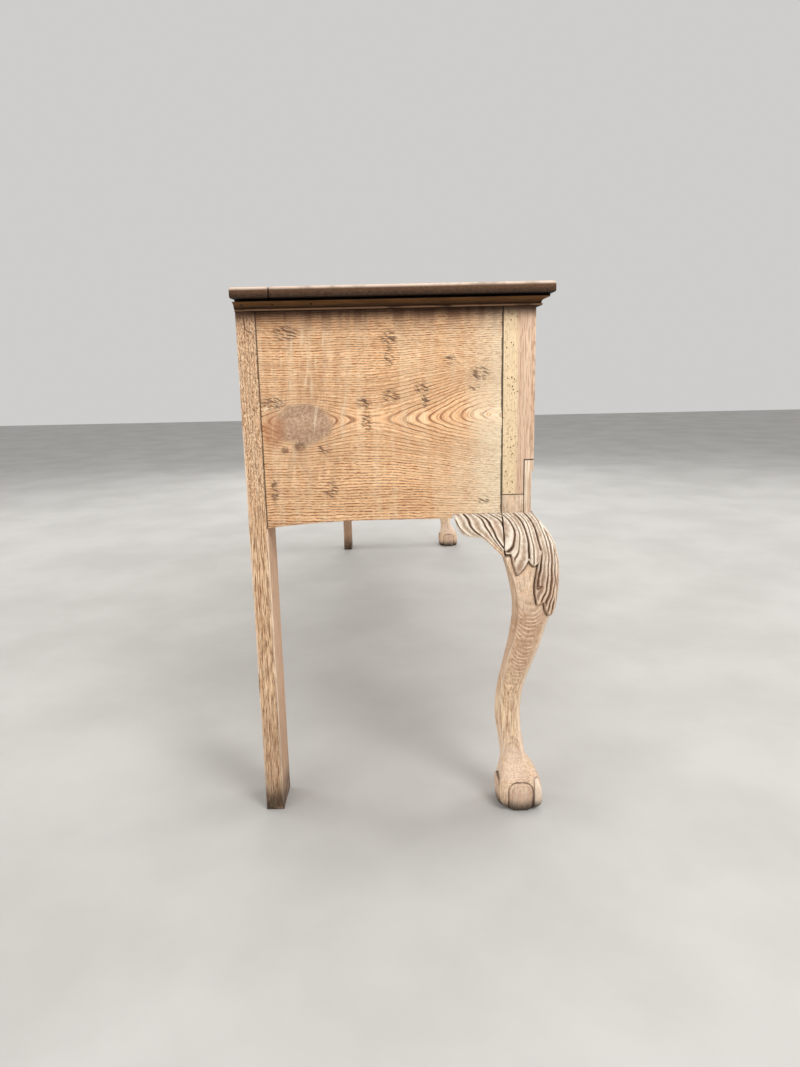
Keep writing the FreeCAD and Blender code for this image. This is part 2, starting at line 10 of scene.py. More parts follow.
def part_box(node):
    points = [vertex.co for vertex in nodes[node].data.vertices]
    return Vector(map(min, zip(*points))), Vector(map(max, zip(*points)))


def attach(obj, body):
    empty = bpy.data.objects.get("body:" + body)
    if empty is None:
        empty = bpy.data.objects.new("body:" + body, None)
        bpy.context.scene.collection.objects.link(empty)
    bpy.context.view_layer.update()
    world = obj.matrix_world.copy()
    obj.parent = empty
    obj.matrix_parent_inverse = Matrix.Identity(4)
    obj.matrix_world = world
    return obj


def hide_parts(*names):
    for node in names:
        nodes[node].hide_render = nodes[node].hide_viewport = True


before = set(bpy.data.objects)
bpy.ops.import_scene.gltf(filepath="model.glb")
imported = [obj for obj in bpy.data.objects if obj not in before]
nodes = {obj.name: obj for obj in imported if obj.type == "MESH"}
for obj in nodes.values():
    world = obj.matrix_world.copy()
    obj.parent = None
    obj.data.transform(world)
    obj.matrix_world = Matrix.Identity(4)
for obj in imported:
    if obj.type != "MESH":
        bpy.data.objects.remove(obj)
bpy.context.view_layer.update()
scene = bpy.context.scene
mm = 0.001

# Places taken from the frame, in metres
stile_low, stile_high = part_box("front_stile_left")
rear_low, rear_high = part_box("rear_leg_left")
apron_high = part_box("front_apron")[1]
ear_low, ear_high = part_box("end_ear_left")
top_low, top_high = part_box("top_board_front")
moulding_low, moulding_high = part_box("end_moulding_left")
panel_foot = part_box("side_panel_left")[0].z
left = stile_low.x
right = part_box("front_stile_right")[1].x
front = stile_low.y
back = rear_high.y
knee_height = ear_high.z
stile_back = stile_high.y
joint_height = stile_low.z
apron_back = apron_high.y - front
sides = ("left", "right")
drawers = ("left", "middle", "right")

# Camera of the photograph: its place from the carcass corner, its angles and its focal length
image_height = 1067
focal_pixels = 760
sensor_long_side = 36.0
camera_place = Vector((left - 1.16622, front + 0.20403, 0.73483))
camera_pitch = 0.217086
camera_yaw = 0.0035124
camera_roll = 0.0210475


def tone(red, green, blue):
    """A colour chosen as screen values, as the linear colour that a shader takes."""
    linear = [((c / 255 + 0.055) / 1.055) ** 2.4 for c in (red, green, blue)]
    return (*linear, 1.0)


# Colours, darkest grain first
panel_tones = (tone(136, 72, 36), tone(255, 203, 152), tone(255, 228, 186))
panel_pale = tone(255, 236, 203)
panel_ring = tone(152, 98, 64)
stile_tones = (tone(188, 142, 112), tone(240, 204, 174), tone(252, 226, 200))
sapwood = tone(254, 230, 184)
rear_tones = (tone(106, 62, 36), tone(234, 188, 146), tone(255, 228, 192))
leg_tones = (tone(140, 96, 66), tone(230, 194, 160), tone(254, 234, 206))
carved_pale = tone(250, 239, 222)
# Painted shade in the carving's hollows, and darker painted shade in its cuts
carved_hollow_shade = tone(164, 136, 112)
carved_cut_shade = tone(66, 48, 36)
top_tones = (tone(120, 84, 58), tone(186, 142, 104), tone(220, 180, 142))
end_grain_tones = (tone(34, 18, 8), tone(94, 66, 46))
# Worn arris of the top, lightened as a painted highlight
worn_arris_and_highlight = tone(230, 206, 186)
# Pale arrises: worn wood, lightened as a painted highlight
worn_and_lit_wood = tone(244, 222, 198)
moulding_tones = (tone(42, 24, 10), tone(74, 48, 26), tone(100, 70, 44))
moulding_lit = tone(122, 84, 48)
moulding_shade = tone(42, 22, 8)
front_tones = (tone(158, 108, 72), tone(230, 184, 142), tone(250, 216, 178))
lining_tones = (tone(150, 112, 78), tone(196, 156, 116), tone(220, 186, 148))
pine_tones = (tone(140, 98, 62), tone(190, 146, 100), tone(212, 174, 130))
grime = tone(52, 40, 31)
# Dark of joints and cracks, and painted black shade in the gap under the top and along the moulding's edges
joint_dark_and_shade = tone(30, 19, 13)
brass_tones = (tone(82, 62, 34), tone(152, 120, 66), tone(196, 164, 104))
iron_tones = (tone(34, 30, 28), tone(66, 58, 52), tone(92, 74, 60))


class Field:
    """A value that varies over a surface: a shader socket that takes plain arithmetic."""

    def __init__(self, finish, socket):
        self.finish = finish
        self.socket = socket

    def __add__(self, other):
        return self.finish.math("ADD", self, other)

    def __sub__(self, other):
        return self.finish.math("SUBTRACT", self, other)

    def __rsub__(self, other):
        return self.finish.math("SUBTRACT", other, self)

    def __mul__(self, other):
        return self.finish.math("MULTIPLY", self, other)

    def __truediv__(self, other):
        return self.finish.math("DIVIDE", self, other)

    def __abs__(self):
        return self.finish.math("ABSOLUTE", self)

    __radd__ = __add__
    __rmul__ = __mul__


class Finish:
    """One material in the making: short calls that add its nodes, the colour so far and the relief."""

    def __init__(self, name, roughness=0.62, specular=0.3):
        self.material = bpy.data.materials.new(name)
        self.material.use_nodes = True
        self.tree = self.material.node_tree
        self.shader = self.tree.nodes["Principled BSDF"]
        self.shader.inputs["Roughness"].default_value = roughness
        self.shader.inputs["Specular IOR Level"].default_value = specular
        self.place = self.tree.nodes.new("ShaderNodeTexCoord").outputs["Object"]
        split = self.node("ShaderNodeSeparateXYZ", {"Vector": self.place})
        self.x, self.y, self.z = (Field(self, socket) for socket in split.outputs)
        self.behind = self.y - front
        self.colour = None
        self.height = None

    def put(self, socket, value):
        """Links a varying value to a socket, or sets a constant one on it."""
        if isinstance(value, Field):
            value = value.socket
        if isinstance(value, bpy.types.NodeSocket):
            self.tree.links.new(value, socket)
        else:
            socket.default_value = value

    def node(self, kind, inputs, **settings):
        made = self.tree.nodes.new(kind)
        for name, value in settings.items():
            setattr(made, name, value)
        for key, value in inputs.items():
            self.put(made.inputs[key], value)
        return made

    def math(self, operation, *values):
        made = self.node("ShaderNodeMath", dict(enumerate(values)), operation=operation)
        return Field(self, made.outputs[0])

    def most(self, a, b):
        return self.math("MAXIMUM", a, b)

    def least(self, a, b):
        return self.math("MINIMUM", a, b)

    def root(self, value):
        return self.math("SQRT", value)

    def fall(self, value):
        """1 where a value is 0, fading smoothly as the value grows."""
        return self.math("EXPONENT", -1.0 * value)

    def vector(self, a, b, c):
        return self.node("ShaderNodeCombineXYZ", {"X": a, "Y": b, "Z": c}).outputs[0]

    def flow(self, axis):
        """Coordinates along, across and into wood whose grain runs along X, Y or Z."""
        x, y, z = self.x, self.y, self.z
        return {"x": (x, z, y), "y": (y, z, x), "z": (z, y, x)}[axis]

    def step(self, value, low, high):
        """0 at low and 1 at high, easing between them; low may be the larger."""
        inputs = {"Value": value, "From Min": low, "From Max": high}
        made = self.node("ShaderNodeMapRange", inputs, interpolation_type="SMOOTHSTEP")
        return Field(self, made.outputs[0])

    def line(self, value, place, outer, inner):
        """1 within inner of a place and 0 beyond outer."""
        return self.step(abs(value - place), outer, inner)

    def zone(self, foot, top):
        """1 between two heights, each given as where the zone starts to show and where it is full."""
        return self.step(self.z, *foot) * self.step(self.z, *top)

    def near_ends(self, start, full):
        """0 deeper than start below the end faces of the carcass and 1 nearer to them than full."""
        return self.step(abs(self.x), right - start, right - full)

    def noise(self, stretch, detail=2.0, roughness=0.55, at=None):
        place = self.place if at is None else at
        scaled = self.node("ShaderNodeVectorMath", {0: place, 1: stretch}, operation="MULTIPLY").outputs[0]
        inputs = {"Vector": scaled, "Scale": 1.0, "Detail": detail, "Roughness": roughness}
        return Field(self, self.node("ShaderNodeTexNoise", inputs).outputs["Fac"])

    def patches(self, low, high, *noise, at=None):
        """Noise as a mask: 0 where it is at low and 1 where it is at high."""
        return self.step(self.noise(*noise, at=at), low, high)

    def attribute(self, name):
        return Field(self, self.node("ShaderNodeAttribute", {}, attribute_name=name).outputs["Fac"])

    def mix(self, share, a, b, blend="MIX"):
        made = self.node("ShaderNodeMix", {0: share, 6: a, 7: b}, data_type="RGBA", blend_type=blend)
        return made.outputs[2]

    def lay(self, share, over):
        """Covers a share of the colour so far with another colour."""
        self.colour = self.mix(share, self.colour, over)

    def vary(self, mask, low, high):
        """Multiplies the colour so far by one colour where a mask is 0 and by another where it is 1."""
        self.colour = self.mix(1.0, self.colour, self.mix(mask, low, high), "MULTIPLY")

    def close(self, depth=0.0005, roughness=None):
        """Joins the finished colour, relief and gloss to the shader."""
        self.put(self.shader.inputs["Base Color"], self.colour)
        if self.height is not None:
            bump = self.node("ShaderNodeBump", {"Height": self.height, "Distance": depth, "Strength": 0.8})
            self.put(self.shader.inputs["Normal"], bump.outputs["Normal"])
        if roughness is not None:
            self.put(self.shader.inputs["Roughness"], roughness)
        return self.material


def grain(f, flow, tones, ring=0.0042, pith=(0.02, -0.14), wander=0.012, contrast=0.55,
          streaks=0.55, pores=0.55, shortness=1.0, curls=0.0, breaks=0.7):
    """Wood cut from a log: growth rings about a pith line, pale streaks and open pores.

    The flow is three coordinates: along, across and into the wood."""
    dark, middle, pale = tones
    along, across, depth = flow
    place = f.vector(along, across, depth)
    da = across - pith[0]
    dd = depth - pith[1]
    radius = f.root(da * da + dd * dd)
    radius = radius + wander * (f.noise((1.7, 12, 12), at=place) - 0.5)
    radius = radius + curls * (f.noise((28, 50, 50), 3, at=place) - 0.5)
    broken = f.patches(0.36, 0.58, (24, 220, 220), at=place)
    early = f.step(f.math("FRACT", radius / ring), 0.55, 0.05) * (1.0 - breaks + breaks * broken)
    streak = f.patches(0.42, 0.60, (7 * shortness, 330, 330), 4, 0.6, at=place)
    pore = f.patches(0.54, 0.62, (38 * shortness, 560, 560), at=place)
    cloud = f.patches(0.34, 0.66, (2.2, 10, 10), 3, at=place)
    f.colour = f.mix(contrast * early, middle, dark)
    f.lay(streaks * streak, pale)
    f.lay(pores * pore, dark)
    f.vary(cloud, (0.86, 0.84, 0.82, 1.0), (1.06, 1.06, 1.06, 1.0))
    f.height = 0.5 * streak - (0.6 * pore + 0.35 * early)


def shade_under_moulding(f, stain):
    """Painted shadow below the moulding, over a band of old polish stain, and painted black shade in the gap
    between it and the top.
    """
    edge = moulding_low.z
    gap = moulding_high.z
    # Painted shadow cast by the top and moulding, over a band of old polish stain
    f.lay(stain * f.step(f.z, edge - 0.045, edge - 0.002), tone(112, 66, 36))
    # Painted shadow, darkest just under the moulding
    f.lay(0.85 * f.step(f.z, edge - 0.020, edge - 0.002), tone(58, 30, 13))
    # Painted black shade in the gap under the top
    f.lay(f.step(f.z, gap - 0.0012, gap), joint_dark_and_shade)


def rim_gap(f, name):
    """Distance inward from the nearest edge of a piece's box, seen from the front; negative outside it."""
    low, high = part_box(name)
    across = f.least(f.x - low.x, high.x - f.x)
    up = f.least(f.z - low.z, high.z - f.z)
    return f.least(across, up)


def shade_round_drawers(f):
    """Painted shadow on the front of the carcass where the drawers' lips close against it."""
    at_front = f.step(f.y, front + 0.003, front + 0.001)
    for drawer in drawers:
        near = f.step(rim_gap(f, drawer + "_drawer_front"), -0.005, 0.0)
        # Painted shadow where the drawers' lips stand proud of the frame
        f.lay(0.7 * near * at_front, tone(104, 70, 48))


def plain_wood(name, axis, tones, by_drawers=False, **settings):
    """Straight grain with a little dirt, and painted shadow where a piece stands by the drawers."""
    f = Finish(name)
    grain(f, f.flow(axis), tones, **settings)
    f.lay(0.3 * f.patches(0.62, 0.8, (9, 9, 9), 4), grime)
    if by_drawers:
        shade_round_drawers(f)
    return f.close()


def back_pine(name):
    """Rough boards: upright saw marks, old damp along the foot and the top, and dirt in their seam."""
    f = Finish(name, roughness=0.75)
    grain(f, f.flow("x"), pine_tones, ring=0.006, contrast=0.45, wander=0.03)
    sawn = f.patches(0.46, 0.60, (330, 7, 9), 3, at=f.vector(f.x + 0.12 * f.z, f.z, f.y))
    f.lay(0.22 * sawn, pine_tones[0])
    damp = f.step(f.z, joint_height + 0.06, joint_height - 0.04) + f.step(f.z, top_low.z - 0.03, top_low.z)
    blotch = f.patches(0.36, 0.62, (5, 5, 14), 4)
    f.lay((0.18 + 0.35 * damp) * blotch, tone(112, 80, 54))
    f.lay(0.85 * f.line(f.z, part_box("back_board_upper")[0].z, 0.0016, 0.0006), joint_dark_and_shade)
    f.height = f.height + 0.5 * sawn
    return f.close(0.0006)


def drawer_front_oak(name, node):
    """Plain-sawn board, paler in the middle and darker along its lip."""
    f = Finish(name)
    grain(f, f.flow("x"), front_tones, ring=0.0058, pith=(0.70, -0.25), contrast=0.65, wander=0.035)
    gap = rim_gap(f, node)
    uneven = 0.5 + 0.5 * f.patches(0.35, 0.6, (20, 20, 60), 3)
    # Darker toward the lip, more so near its edge
    f.lay(0.4 * uneven * f.step(gap, 0.030, 0.0), tone(160, 110, 76))
    f.lay(0.55 * uneven * f.step(gap, 0.0075, 0.003), tone(120, 80, 54))
    at_front = f.step(f.y, front + 0.001, front - 0.001)
    f.lay(f.step(at_front, 1.0, 0.0), lining_tones[1])
    return f.close()


# Figure of the end panels, in metres behind the front plane and above the floor; a pair is where
# something starts to show and where it is full
panel_heart_height = 0.657
panel_heart_start = 0.222
panel_heart_ease = 0.02
panel_heart_slope = 0.32
panel_heart_round = 0.010
panel_heart_spread = 0.075
panel_heart_ring = 0.0060
panel_heart_behind = (0.27, 0.20)
panel_heart_lift = 0.008
panel_heart_reach = (0.080, 0.045)
panel_ring_width = 0.0036
panel_low_start = 0.620
panel_low_stretch = 0.17
panel_pale_corner = (0.15, 0.05)
panel_pale_corner_top = (0.68, 0.56)
panel_pale_edge = (0.115, 0.055)
panel_pale_edge_top = (0.74, 0.62)
panel_eye_swell = 0.014
panel_knot_swell = 0.026

# Marks on the end panels: place behind the front plane, height, half width and half height
panel_eye = (0.086, 0.694, 0.050, 0.034)
panel_knot = (0.352, 0.650, 0.050, 0.036)
panel_rust = (0.398, 0.642, 0.024, 0.036)
panel_scratched = (0.393, 0.677, 0.028, 0.022)
panel_scored = (0.345, 0.700, 0.090, 0.135)
panel_stained = (0.345, 0.585, 0.095, 0.050)
panel_flecks = ((0.219, 0.776, 0.016, 0.015), (0.219, 0.750, 0.010, 0.020), (0.218, 0.691, 0.019, 0.014),
                (0.259, 0.681, 0.016, 0.012), (0.255, 0.652, 0.011, 0.022), (0.170, 0.702, 0.016, 0.012),
                (0.166, 0.684, 0.009, 0.016), (0.092, 0.701, 0.012, 0.006), (0.083, 0.722, 0.019, 0.014),
                (0.372, 0.785, 0.028, 0.014), (0.128, 0.742, 0.012, 0.009), (0.398, 0.683, 0.024, 0.013),
                (0.322, 0.612, 0.014, 0.011), (0.314, 0.549, 0.015, 0.019), (0.401, 0.548, 0.008, 0.028),
                (0.077, 0.529, 0.012, 0.010))
panel_small_knots = ((0.359, 0.6165, 0.012, 0.009), (0.3815, 0.6115, 0.008, 0.007))


def waves(f, level, width):
    """Rises and falls between 0 and 1 once in each width."""
    return 0.5 + 0.5 * f.math("SINE", level * (math.tau / width))


def oval(f, mark):
    """Square of the distance from the middle of a mark, counted in its half width and half height."""
    da = (f.behind - mark[0]) / mark[2]
    db = (f.z - mark[1]) / mark[3]
    return da * da + db * db


def spot(f, mark):
    """1 at the middle of a mark, 0 at its rim and outside."""
    return f.step(f.root(oval(f, mark)), 1.0, 0.45)


def panel_level(f, place):
    """Height of the board's growth layers at a point, its distance from the knot, and a slow wander."""
    wander = f.noise((8, 22, 9), 3, at=place)
    ripple = f.noise((75, 130, 9), at=place)
    rise = f.z - panel_heart_height + 0.010 * (wander - 0.5) + 0.0022 * (ripple - 0.5)
    arch = f.root(rise * rise + panel_heart_round ** 2)
    run = panel_heart_start - f.behind
    run = 0.5 * (run + f.root(run * run + panel_heart_ease ** 2))
    share = rise / panel_heart_spread
    level = arch - panel_heart_slope * run * f.fall(share * share)
    knot_far = oval(f, panel_knot)
    eye = f.fall(oval(f, panel_eye))
    level = level - (panel_eye_swell * eye + panel_knot_swell * f.fall(knot_far))
    knot_far = knot_far + 0.6 * (f.noise((45, 45, 9), 3, at=place) - 0.5)
    return level, knot_far, wander


def panel_marks(f, place, knot_far, pores):
    """The knot, stains, saw marks, flecks and small knots of an end panel."""
    curdled = f.patches(0.36, 0.64, (260, 260, 9), 4, 0.7, at=place)
    knot_tone = f.mix(curdled, tone(164, 130, 106), tone(214, 180, 152))
    f.lay(0.85 * f.step(knot_far, 0.95, 0.5), knot_tone)
    f.lay(spot(f, panel_rust) * (0.55 + 0.4 * pores), tone(176, 108, 68))
    scratch = f.patches(0.56, 0.62, (60, 420, 9), at=f.vector(f.behind, f.z + 0.8 * f.behind, f.x))
    f.lay(0.8 * spot(f, panel_scratched) * scratch, panel_pale)
    sawn_place = f.vector(f.behind + 0.1 * f.z, f.z, f.x)
    scored = spot(f, panel_scored)
    stained = f.most(scored, spot(f, panel_stained))
    stain = f.patches(0.44, 0.60, (70, 14, 9), 4, 0.65, at=sawn_place)
    f.lay(0.27 * stained * stain, tone(172, 126, 98))
    score = f.patches(0.57, 0.66, (170, 16, 9), 3, at=sawn_place)
    f.lay(0.4 * scored * score, panel_pale)
    tilted = f.vector(f.behind, f.z - 0.3 * f.behind, f.x)
    strokes = f.patches(0.47, 0.56, (95, 420, 9), 4, 0.65, at=tilted)
    marks = 0.0
    for fleck in panel_flecks:
        marks = f.most(marks, spot(f, fleck))
    f.lay(0.85 * marks * strokes, tone(100, 70, 56))
    ragged = f.patches(0.44, 0.52, (150, 260, 9), 3, at=place)
    for knot in panel_small_knots:
        f.lay(0.85 * spot(f, knot) * (0.55 + 0.4 * ragged), tone(130, 92, 72))


def panel_oak(name):
    """One wide board: horizontal figure with a pointed heart toward the front and a knot toward the rear."""
    f = Finish(name)
    flat = f.vector(f.behind, f.z, f.x)
    level, knot_far, wander = panel_level(f, flat)

    dark, middle, pale = panel_tones
    place = f.vector(f.behind, level, f.x)
    broken = f.patches(0.36, 0.56, (45, 200, 9), 3, at=place)
    jitter = 0.003 * f.noise((14, 60, 9), 3, at=place)
    fine_level = level + jitter - panel_low_stretch * f.most(panel_low_start - f.z, 0.0)
    fine = f.step(waves(f, fine_level, panel_ring_width), 0.45, 0.95) * (0.6 + 0.4 * broken)
    ring = f.step(waves(f, level + 0.3 * jitter, panel_heart_ring), 0.68, 0.97) * (0.5 + 0.5 * broken)
    heart = f.line(f.z, panel_heart_height + panel_heart_lift, *panel_heart_reach)
    heart = heart * f.step(f.behind, *panel_heart_behind)
    near_knot = f.step(knot_far, 4.0, 1.8) * f.step(knot_far, 0.5, 0.9)
    broad = f.most(heart, near_knot)
    speckle = f.noise((190, 1250, 60), 2, 0.6, at=place)
    light = f.step(speckle, 0.50, 0.40)
    pores = f.step(speckle, 0.55, 0.64)
    brushed = f.patches(0.44, 0.60, (5, 52, 5), 3, at=f.vector(f.x, f.behind, f.z))

    f.colour = f.mix(0.92 * fine * (1.0 - 0.7 * broad), middle, dark)
    f.lay(0.6 * light, pale)
    f.lay(0.85 * ring * broad, panel_ring)
    f.lay(0.32 * pores, dark)
    f.lay(0.14 * f.patches(0.36, 0.66, (9, 5, 7), 3), tone(206, 144, 98))
    f.lay(0.2 * brushed, panel_pale)
    band = f.patches(0.36, 0.64, (2.5, 75, 9), 3, at=place)
    f.vary(band, (0.95, 0.92, 0.90, 1.0), (1.09, 1.08, 1.07, 1.0))
    corner = f.step(f.behind, *panel_pale_corner) * f.step(f.z, *panel_pale_corner_top)
    edge = f.step(f.behind + 0.04 * (wander - 0.5), *panel_pale_edge)
    edge = edge * (0.65 + 0.35 * f.step(f.z, *panel_pale_edge_top))
    bleached = f.most(corner, edge) * (0.86 + 0.14 * f.patches(0.28, 0.6, (9, 26, 30), 3))
    f.lay(bleached * (1.0 - 0.85 * f.most(pores, 0.4 * fine)), panel_pale)
    panel_marks(f, flat, knot_far, pores)

    shade_under_moulding(f, 0.5 + 0.35 * brushed)
    f.lay(0.35 * f.step(f.z, panel_foot + 0.016, panel_foot + 0.004), tone(150, 104, 74))
    gap = 0.0005 + 0.0018 * f.step(wander, 0.4, 0.60)
    gap_front = f.line(f.y, stile_back, gap + 0.0006, gap)
    gap_rear = f.line(f.y, rear_low.y, 0.0014, 0.0006)
    f.lay(f.most(0.85 * gap_front, 0.7 * gap_rear), joint_dark_and_shade)
    f.height = 0.4 * light - (0.6 * pores + 0.45 * fine)
    return f.close(0.0008)


def apron_joint(f):
    """1 along the joint lines round the apron's end, where it is housed in the stile."""
    upright = f.line(f.behind, apron_back, 0.0013, 0.0005) * f.step(f.z, apron_high.z + 0.001, apron_high.z)
    level = f.line(f.z, apron_high.z, 0.0013, 0.0005) * f.step(f.behind, apron_back + 0.001, apron_back)
    return f.most(upright, level) * f.near_ends(0.03, 0.02)


def stile_oak(name):
    """Heartwood toward the front and pale, wormy sapwood behind it."""
    f = Finish(name)
    grain(f, f.flow("z"), stile_tones, ring=0.0026, pith=(-0.31, left - 0.02), contrast=0.4)
    edge = f.behind + 0.008 * (f.noise((30, 30, 4)) - 0.5)
    sap = f.step(edge, 0.024, 0.031)
    f.lay(0.65 * sap, sapwood)
    f.lay(0.5 * sap * f.patches(0.55, 0.64, (420, 420, 260), 3), tone(176, 132, 92))
    mottle = f.patches(0.45, 0.6, (160, 160, 60), 3)
    arris = f.step(f.behind, 0.0095, 0.004) * mottle * f.near_ends(0.012, 0.004)
    f.lay(0.45 * arris, tone(160, 112, 82))
    cells = f.node("ShaderNodeTexVoronoi", {"Vector": f.place, "Scale": 170.0}).outputs["Distance"]
    wormy = f.patches(0.46, 0.52, (60, 60, 30)) * f.step(edge, 0.022, 0.030)
    hole = f.step(cells, 0.21, 0.14) * wormy
    f.lay(0.95 * hole, tone(60, 36, 22))
    shade_round_drawers(f)
    shade_under_moulding(f, 0.35)
    gap = f.line(f.y, stile_back, 0.0010, 0.0004)
    foot = f.line(f.z, joint_height, 0.0014, 0.0006)
    f.lay(0.92 * f.most(f.most(gap, foot), apron_joint(f)), joint_dark_and_shade)
    f.height = f.height - hole
    return f.close()


def apron_oak(name):
    """Shaped board with its grain along the front and pale weathered ends."""
    f = Finish(name)
    grain(f, f.flow("x"), stile_tones, ring=0.004, pith=(0.70, -0.10), contrast=0.45, wander=0.02)
    upright = f.patches(0.40, 0.60, (420, 420, 22), 3)
    f.lay(f.near_ends(0.003, 0.001), f.mix(upright, tone(206, 172, 144), tone(244, 222, 196)))
    f.lay(0.92 * apron_joint(f), joint_dark_and_shade)
    return f.close()


# Marks on the rear legs, in metres behind the front plane and above the floor; in a pair of heights
# the first is where a zone starts to show and the second where it is full
rear_crack = ((0.4334, 0.8101), (0.4317, 0.7915), (0.4215, 0.7869))
rear_split = ((0.4172, 0.225), (0.4166, 0.085))
rear_middle = 0.431
rear_upright_top = (0.58, 0.44)
rear_dull_top = (0.30, 0.05)
rear_dirt_top = (0.07, 0.006)


def crack(f, across, start, end, width):
    """1 along a line between two points, thinning to nothing at both ends."""
    run = Vector(end) - Vector(start)
    da = across - start[0]
    db = f.z - start[1]
    along = (da * run.x + db * run.y) / run.length_squared
    off = abs((da * run.y - db * run.x) / run.length)
    inside = f.step(along, -0.05, 0.05) * f.step(along, 1.05, 0.95)
    return f.step(off, width, width * 0.4) * inside


def rear_leg_oak(name):
    """Oak with short flecks in chevrons above and upright below, two cracks, a dirty foot and painted shade
    on its faces other than the end.
    """
    f = Finish(name)
    grain(f, f.flow("z"), rear_tones, ring=0.0031, pith=(0.16, left - 0.05), contrast=0.5, streaks=0.4)
    slanted = f.vector(f.behind, f.z + 0.9 * abs(f.behind - rear_middle), f.x)
    chevron = f.noise((820, 250, 330), 3, 0.7, at=slanted)
    upright = f.noise((330, 720, 42), 3, 0.7)
    low = f.step(f.z, *rear_upright_top)
    flecks = chevron * (1.0 - low) + upright * low
    at_end = f.near_ends(0.006, 0.001)
    f.lay(0.7 * f.step(flecks, 0.52, 0.60) * at_end, rear_tones[0])
    f.lay(0.8 * f.step(flecks, 0.46, 0.38) * at_end, rear_tones[2])
    # Painted shade on the faces other than the end face
    f.lay(0.5 * (1.0 - at_end), tone(192, 160, 138))
    across = f.behind + 0.0014 * (f.noise((60, 60, 60)) - 0.5)
    lines = f.most(crack(f, across, *rear_crack[:2], 0.0010), crack(f, across, *rear_crack[1:], 0.0009))
    lines = f.most(lines, 0.8 * crack(f, across, *rear_split, 0.0009))
    f.lay(0.75 * lines, joint_dark_and_shade)
    worn = f.step(f.y, back - 0.004, back - 0.0005) * f.patches(0.4, 0.6, (60, 60, 18))
    inner_arris = f.step(f.y, rear_low.y + 0.0035, rear_low.y + 0.001)
    open_arris = inner_arris * f.step(f.z, panel_foot, panel_foot - 0.01)
    # Pale arrises on the end face, worn and lightened as a painted highlight
    f.lay(0.7 * f.most(worn, 0.8 * open_arris) * at_end, worn_and_lit_wood)
    f.lay(0.32 * f.step(f.z, *rear_dull_top), tone(130, 96, 74))
    dirt = f.step(f.z, *rear_dirt_top) * f.patches(0.1, 0.55, (40, 40, 60), 3)
    f.lay(0.9 * dirt, grime)
    gap = f.line(f.y, rear_low.y, 0.0016, 0.0008) * f.step(f.z, panel_foot - 0.002, panel_foot)
    f.lay(0.8 * gap, joint_dark_and_shade)
    shade_under_moulding(f, 0.45)
    f.height = f.height - lines
    return f.close()


# Zones of the front legs by height in metres, where each starts to show and where it is full
fibres_top = (0.42, 0.34)
shank_foot = (0.08, 0.12)
shank_top = (0.30, 0.22)
calf_foot = (0.20, 0.28)
calf_top = (0.40, 0.34)
arcs_foot = (0.10, 0.15)
arcs_top = (0.40, 0.35)
ankle_foot = (0.045, 0.06)
ankle_top = (0.13, 0.09)
ground_foot = (0.33, 0.37)
ground_top = (0.50, 0.47)
low_tinge_top = (0.080, 0.035)
brown_ball_top = (0.070, 0.060)
tan_leaf_top = (0.47, 0.38)
leg_dark_foot_top = (0.030, 0.006)

# Growth layers that show as arcs on the calf: their spacing, how far they bow, and the line that they
# bow about, behind the front plane, which moves forward as it rises
calf_layer = 0.0019
calf_bow = 8.5
calf_line_low = 0.032
calf_line_shift = 0.027
calf_line_rise = (0.15, 0.32)


def shank_figure(f, curl):
    """Fibres, arcs, arrises worn and lightened as a painted highlight, painted shade under the knee, and a
    darker tone near the floor on the plain parts of a leg.
    """
    fibres = f.noise((380, 380, 16), 3, 0.6)
    to_back = f.step(f.behind, 0.012, 0.034) * f.step(f.z, *fibres_top)
    shank = f.zone(shank_foot, shank_top)
    f.lay(0.6 * f.step(fibres, 0.50, 0.60) * f.most(to_back, 0.8 * shank), tone(255, 226, 184))
    f.lay(0.6 * f.step(fibres, 0.47, 0.37) * shank, tone(170, 116, 80))
    calf = f.zone(calf_foot, calf_top)
    # Painted shade under the knee: brown patches over the calf
    f.lay(0.95 * calf * curl, tone(176, 126, 96))
    aside = f.behind - (calf_line_low - calf_line_shift * f.step(f.z, *calf_line_rise))
    layer = right - abs(f.x) + calf_bow * aside * aside + 0.0030 * (curl - 0.5)
    arcs = f.step(waves(f, layer, calf_layer), 0.55, 0.95) * f.zone(arcs_foot, arcs_top)
    arcs = arcs * f.patches(0.36, 0.56, (50, 50, 90), 3)
    f.lay(arcs * (0.2 + 0.6 * calf), tone(250, 222, 192))
    # Pale arrises: worn wood with a painted highlight where the corners catch the light
    f.lay(0.85 * f.attribute("arris") * (0.4 + 0.6 * curl), worn_and_lit_wood)
    f.lay(0.3 * f.zone(ankle_foot, ankle_top) * f.step(curl, 0.35, 0.6), tone(246, 222, 208))
    mottle = f.patches(0.42, 0.62, (70, 70, 50), 4, 0.65)
    f.lay(f.zone(ground_foot, ground_top) * (0.05 + 0.3 * mottle), tone(232, 206, 182))
    # Darker tone toward the floor, in patches
    f.lay(0.25 * f.step(f.z, *low_tinge_top) * mottle, tone(186, 146, 128))


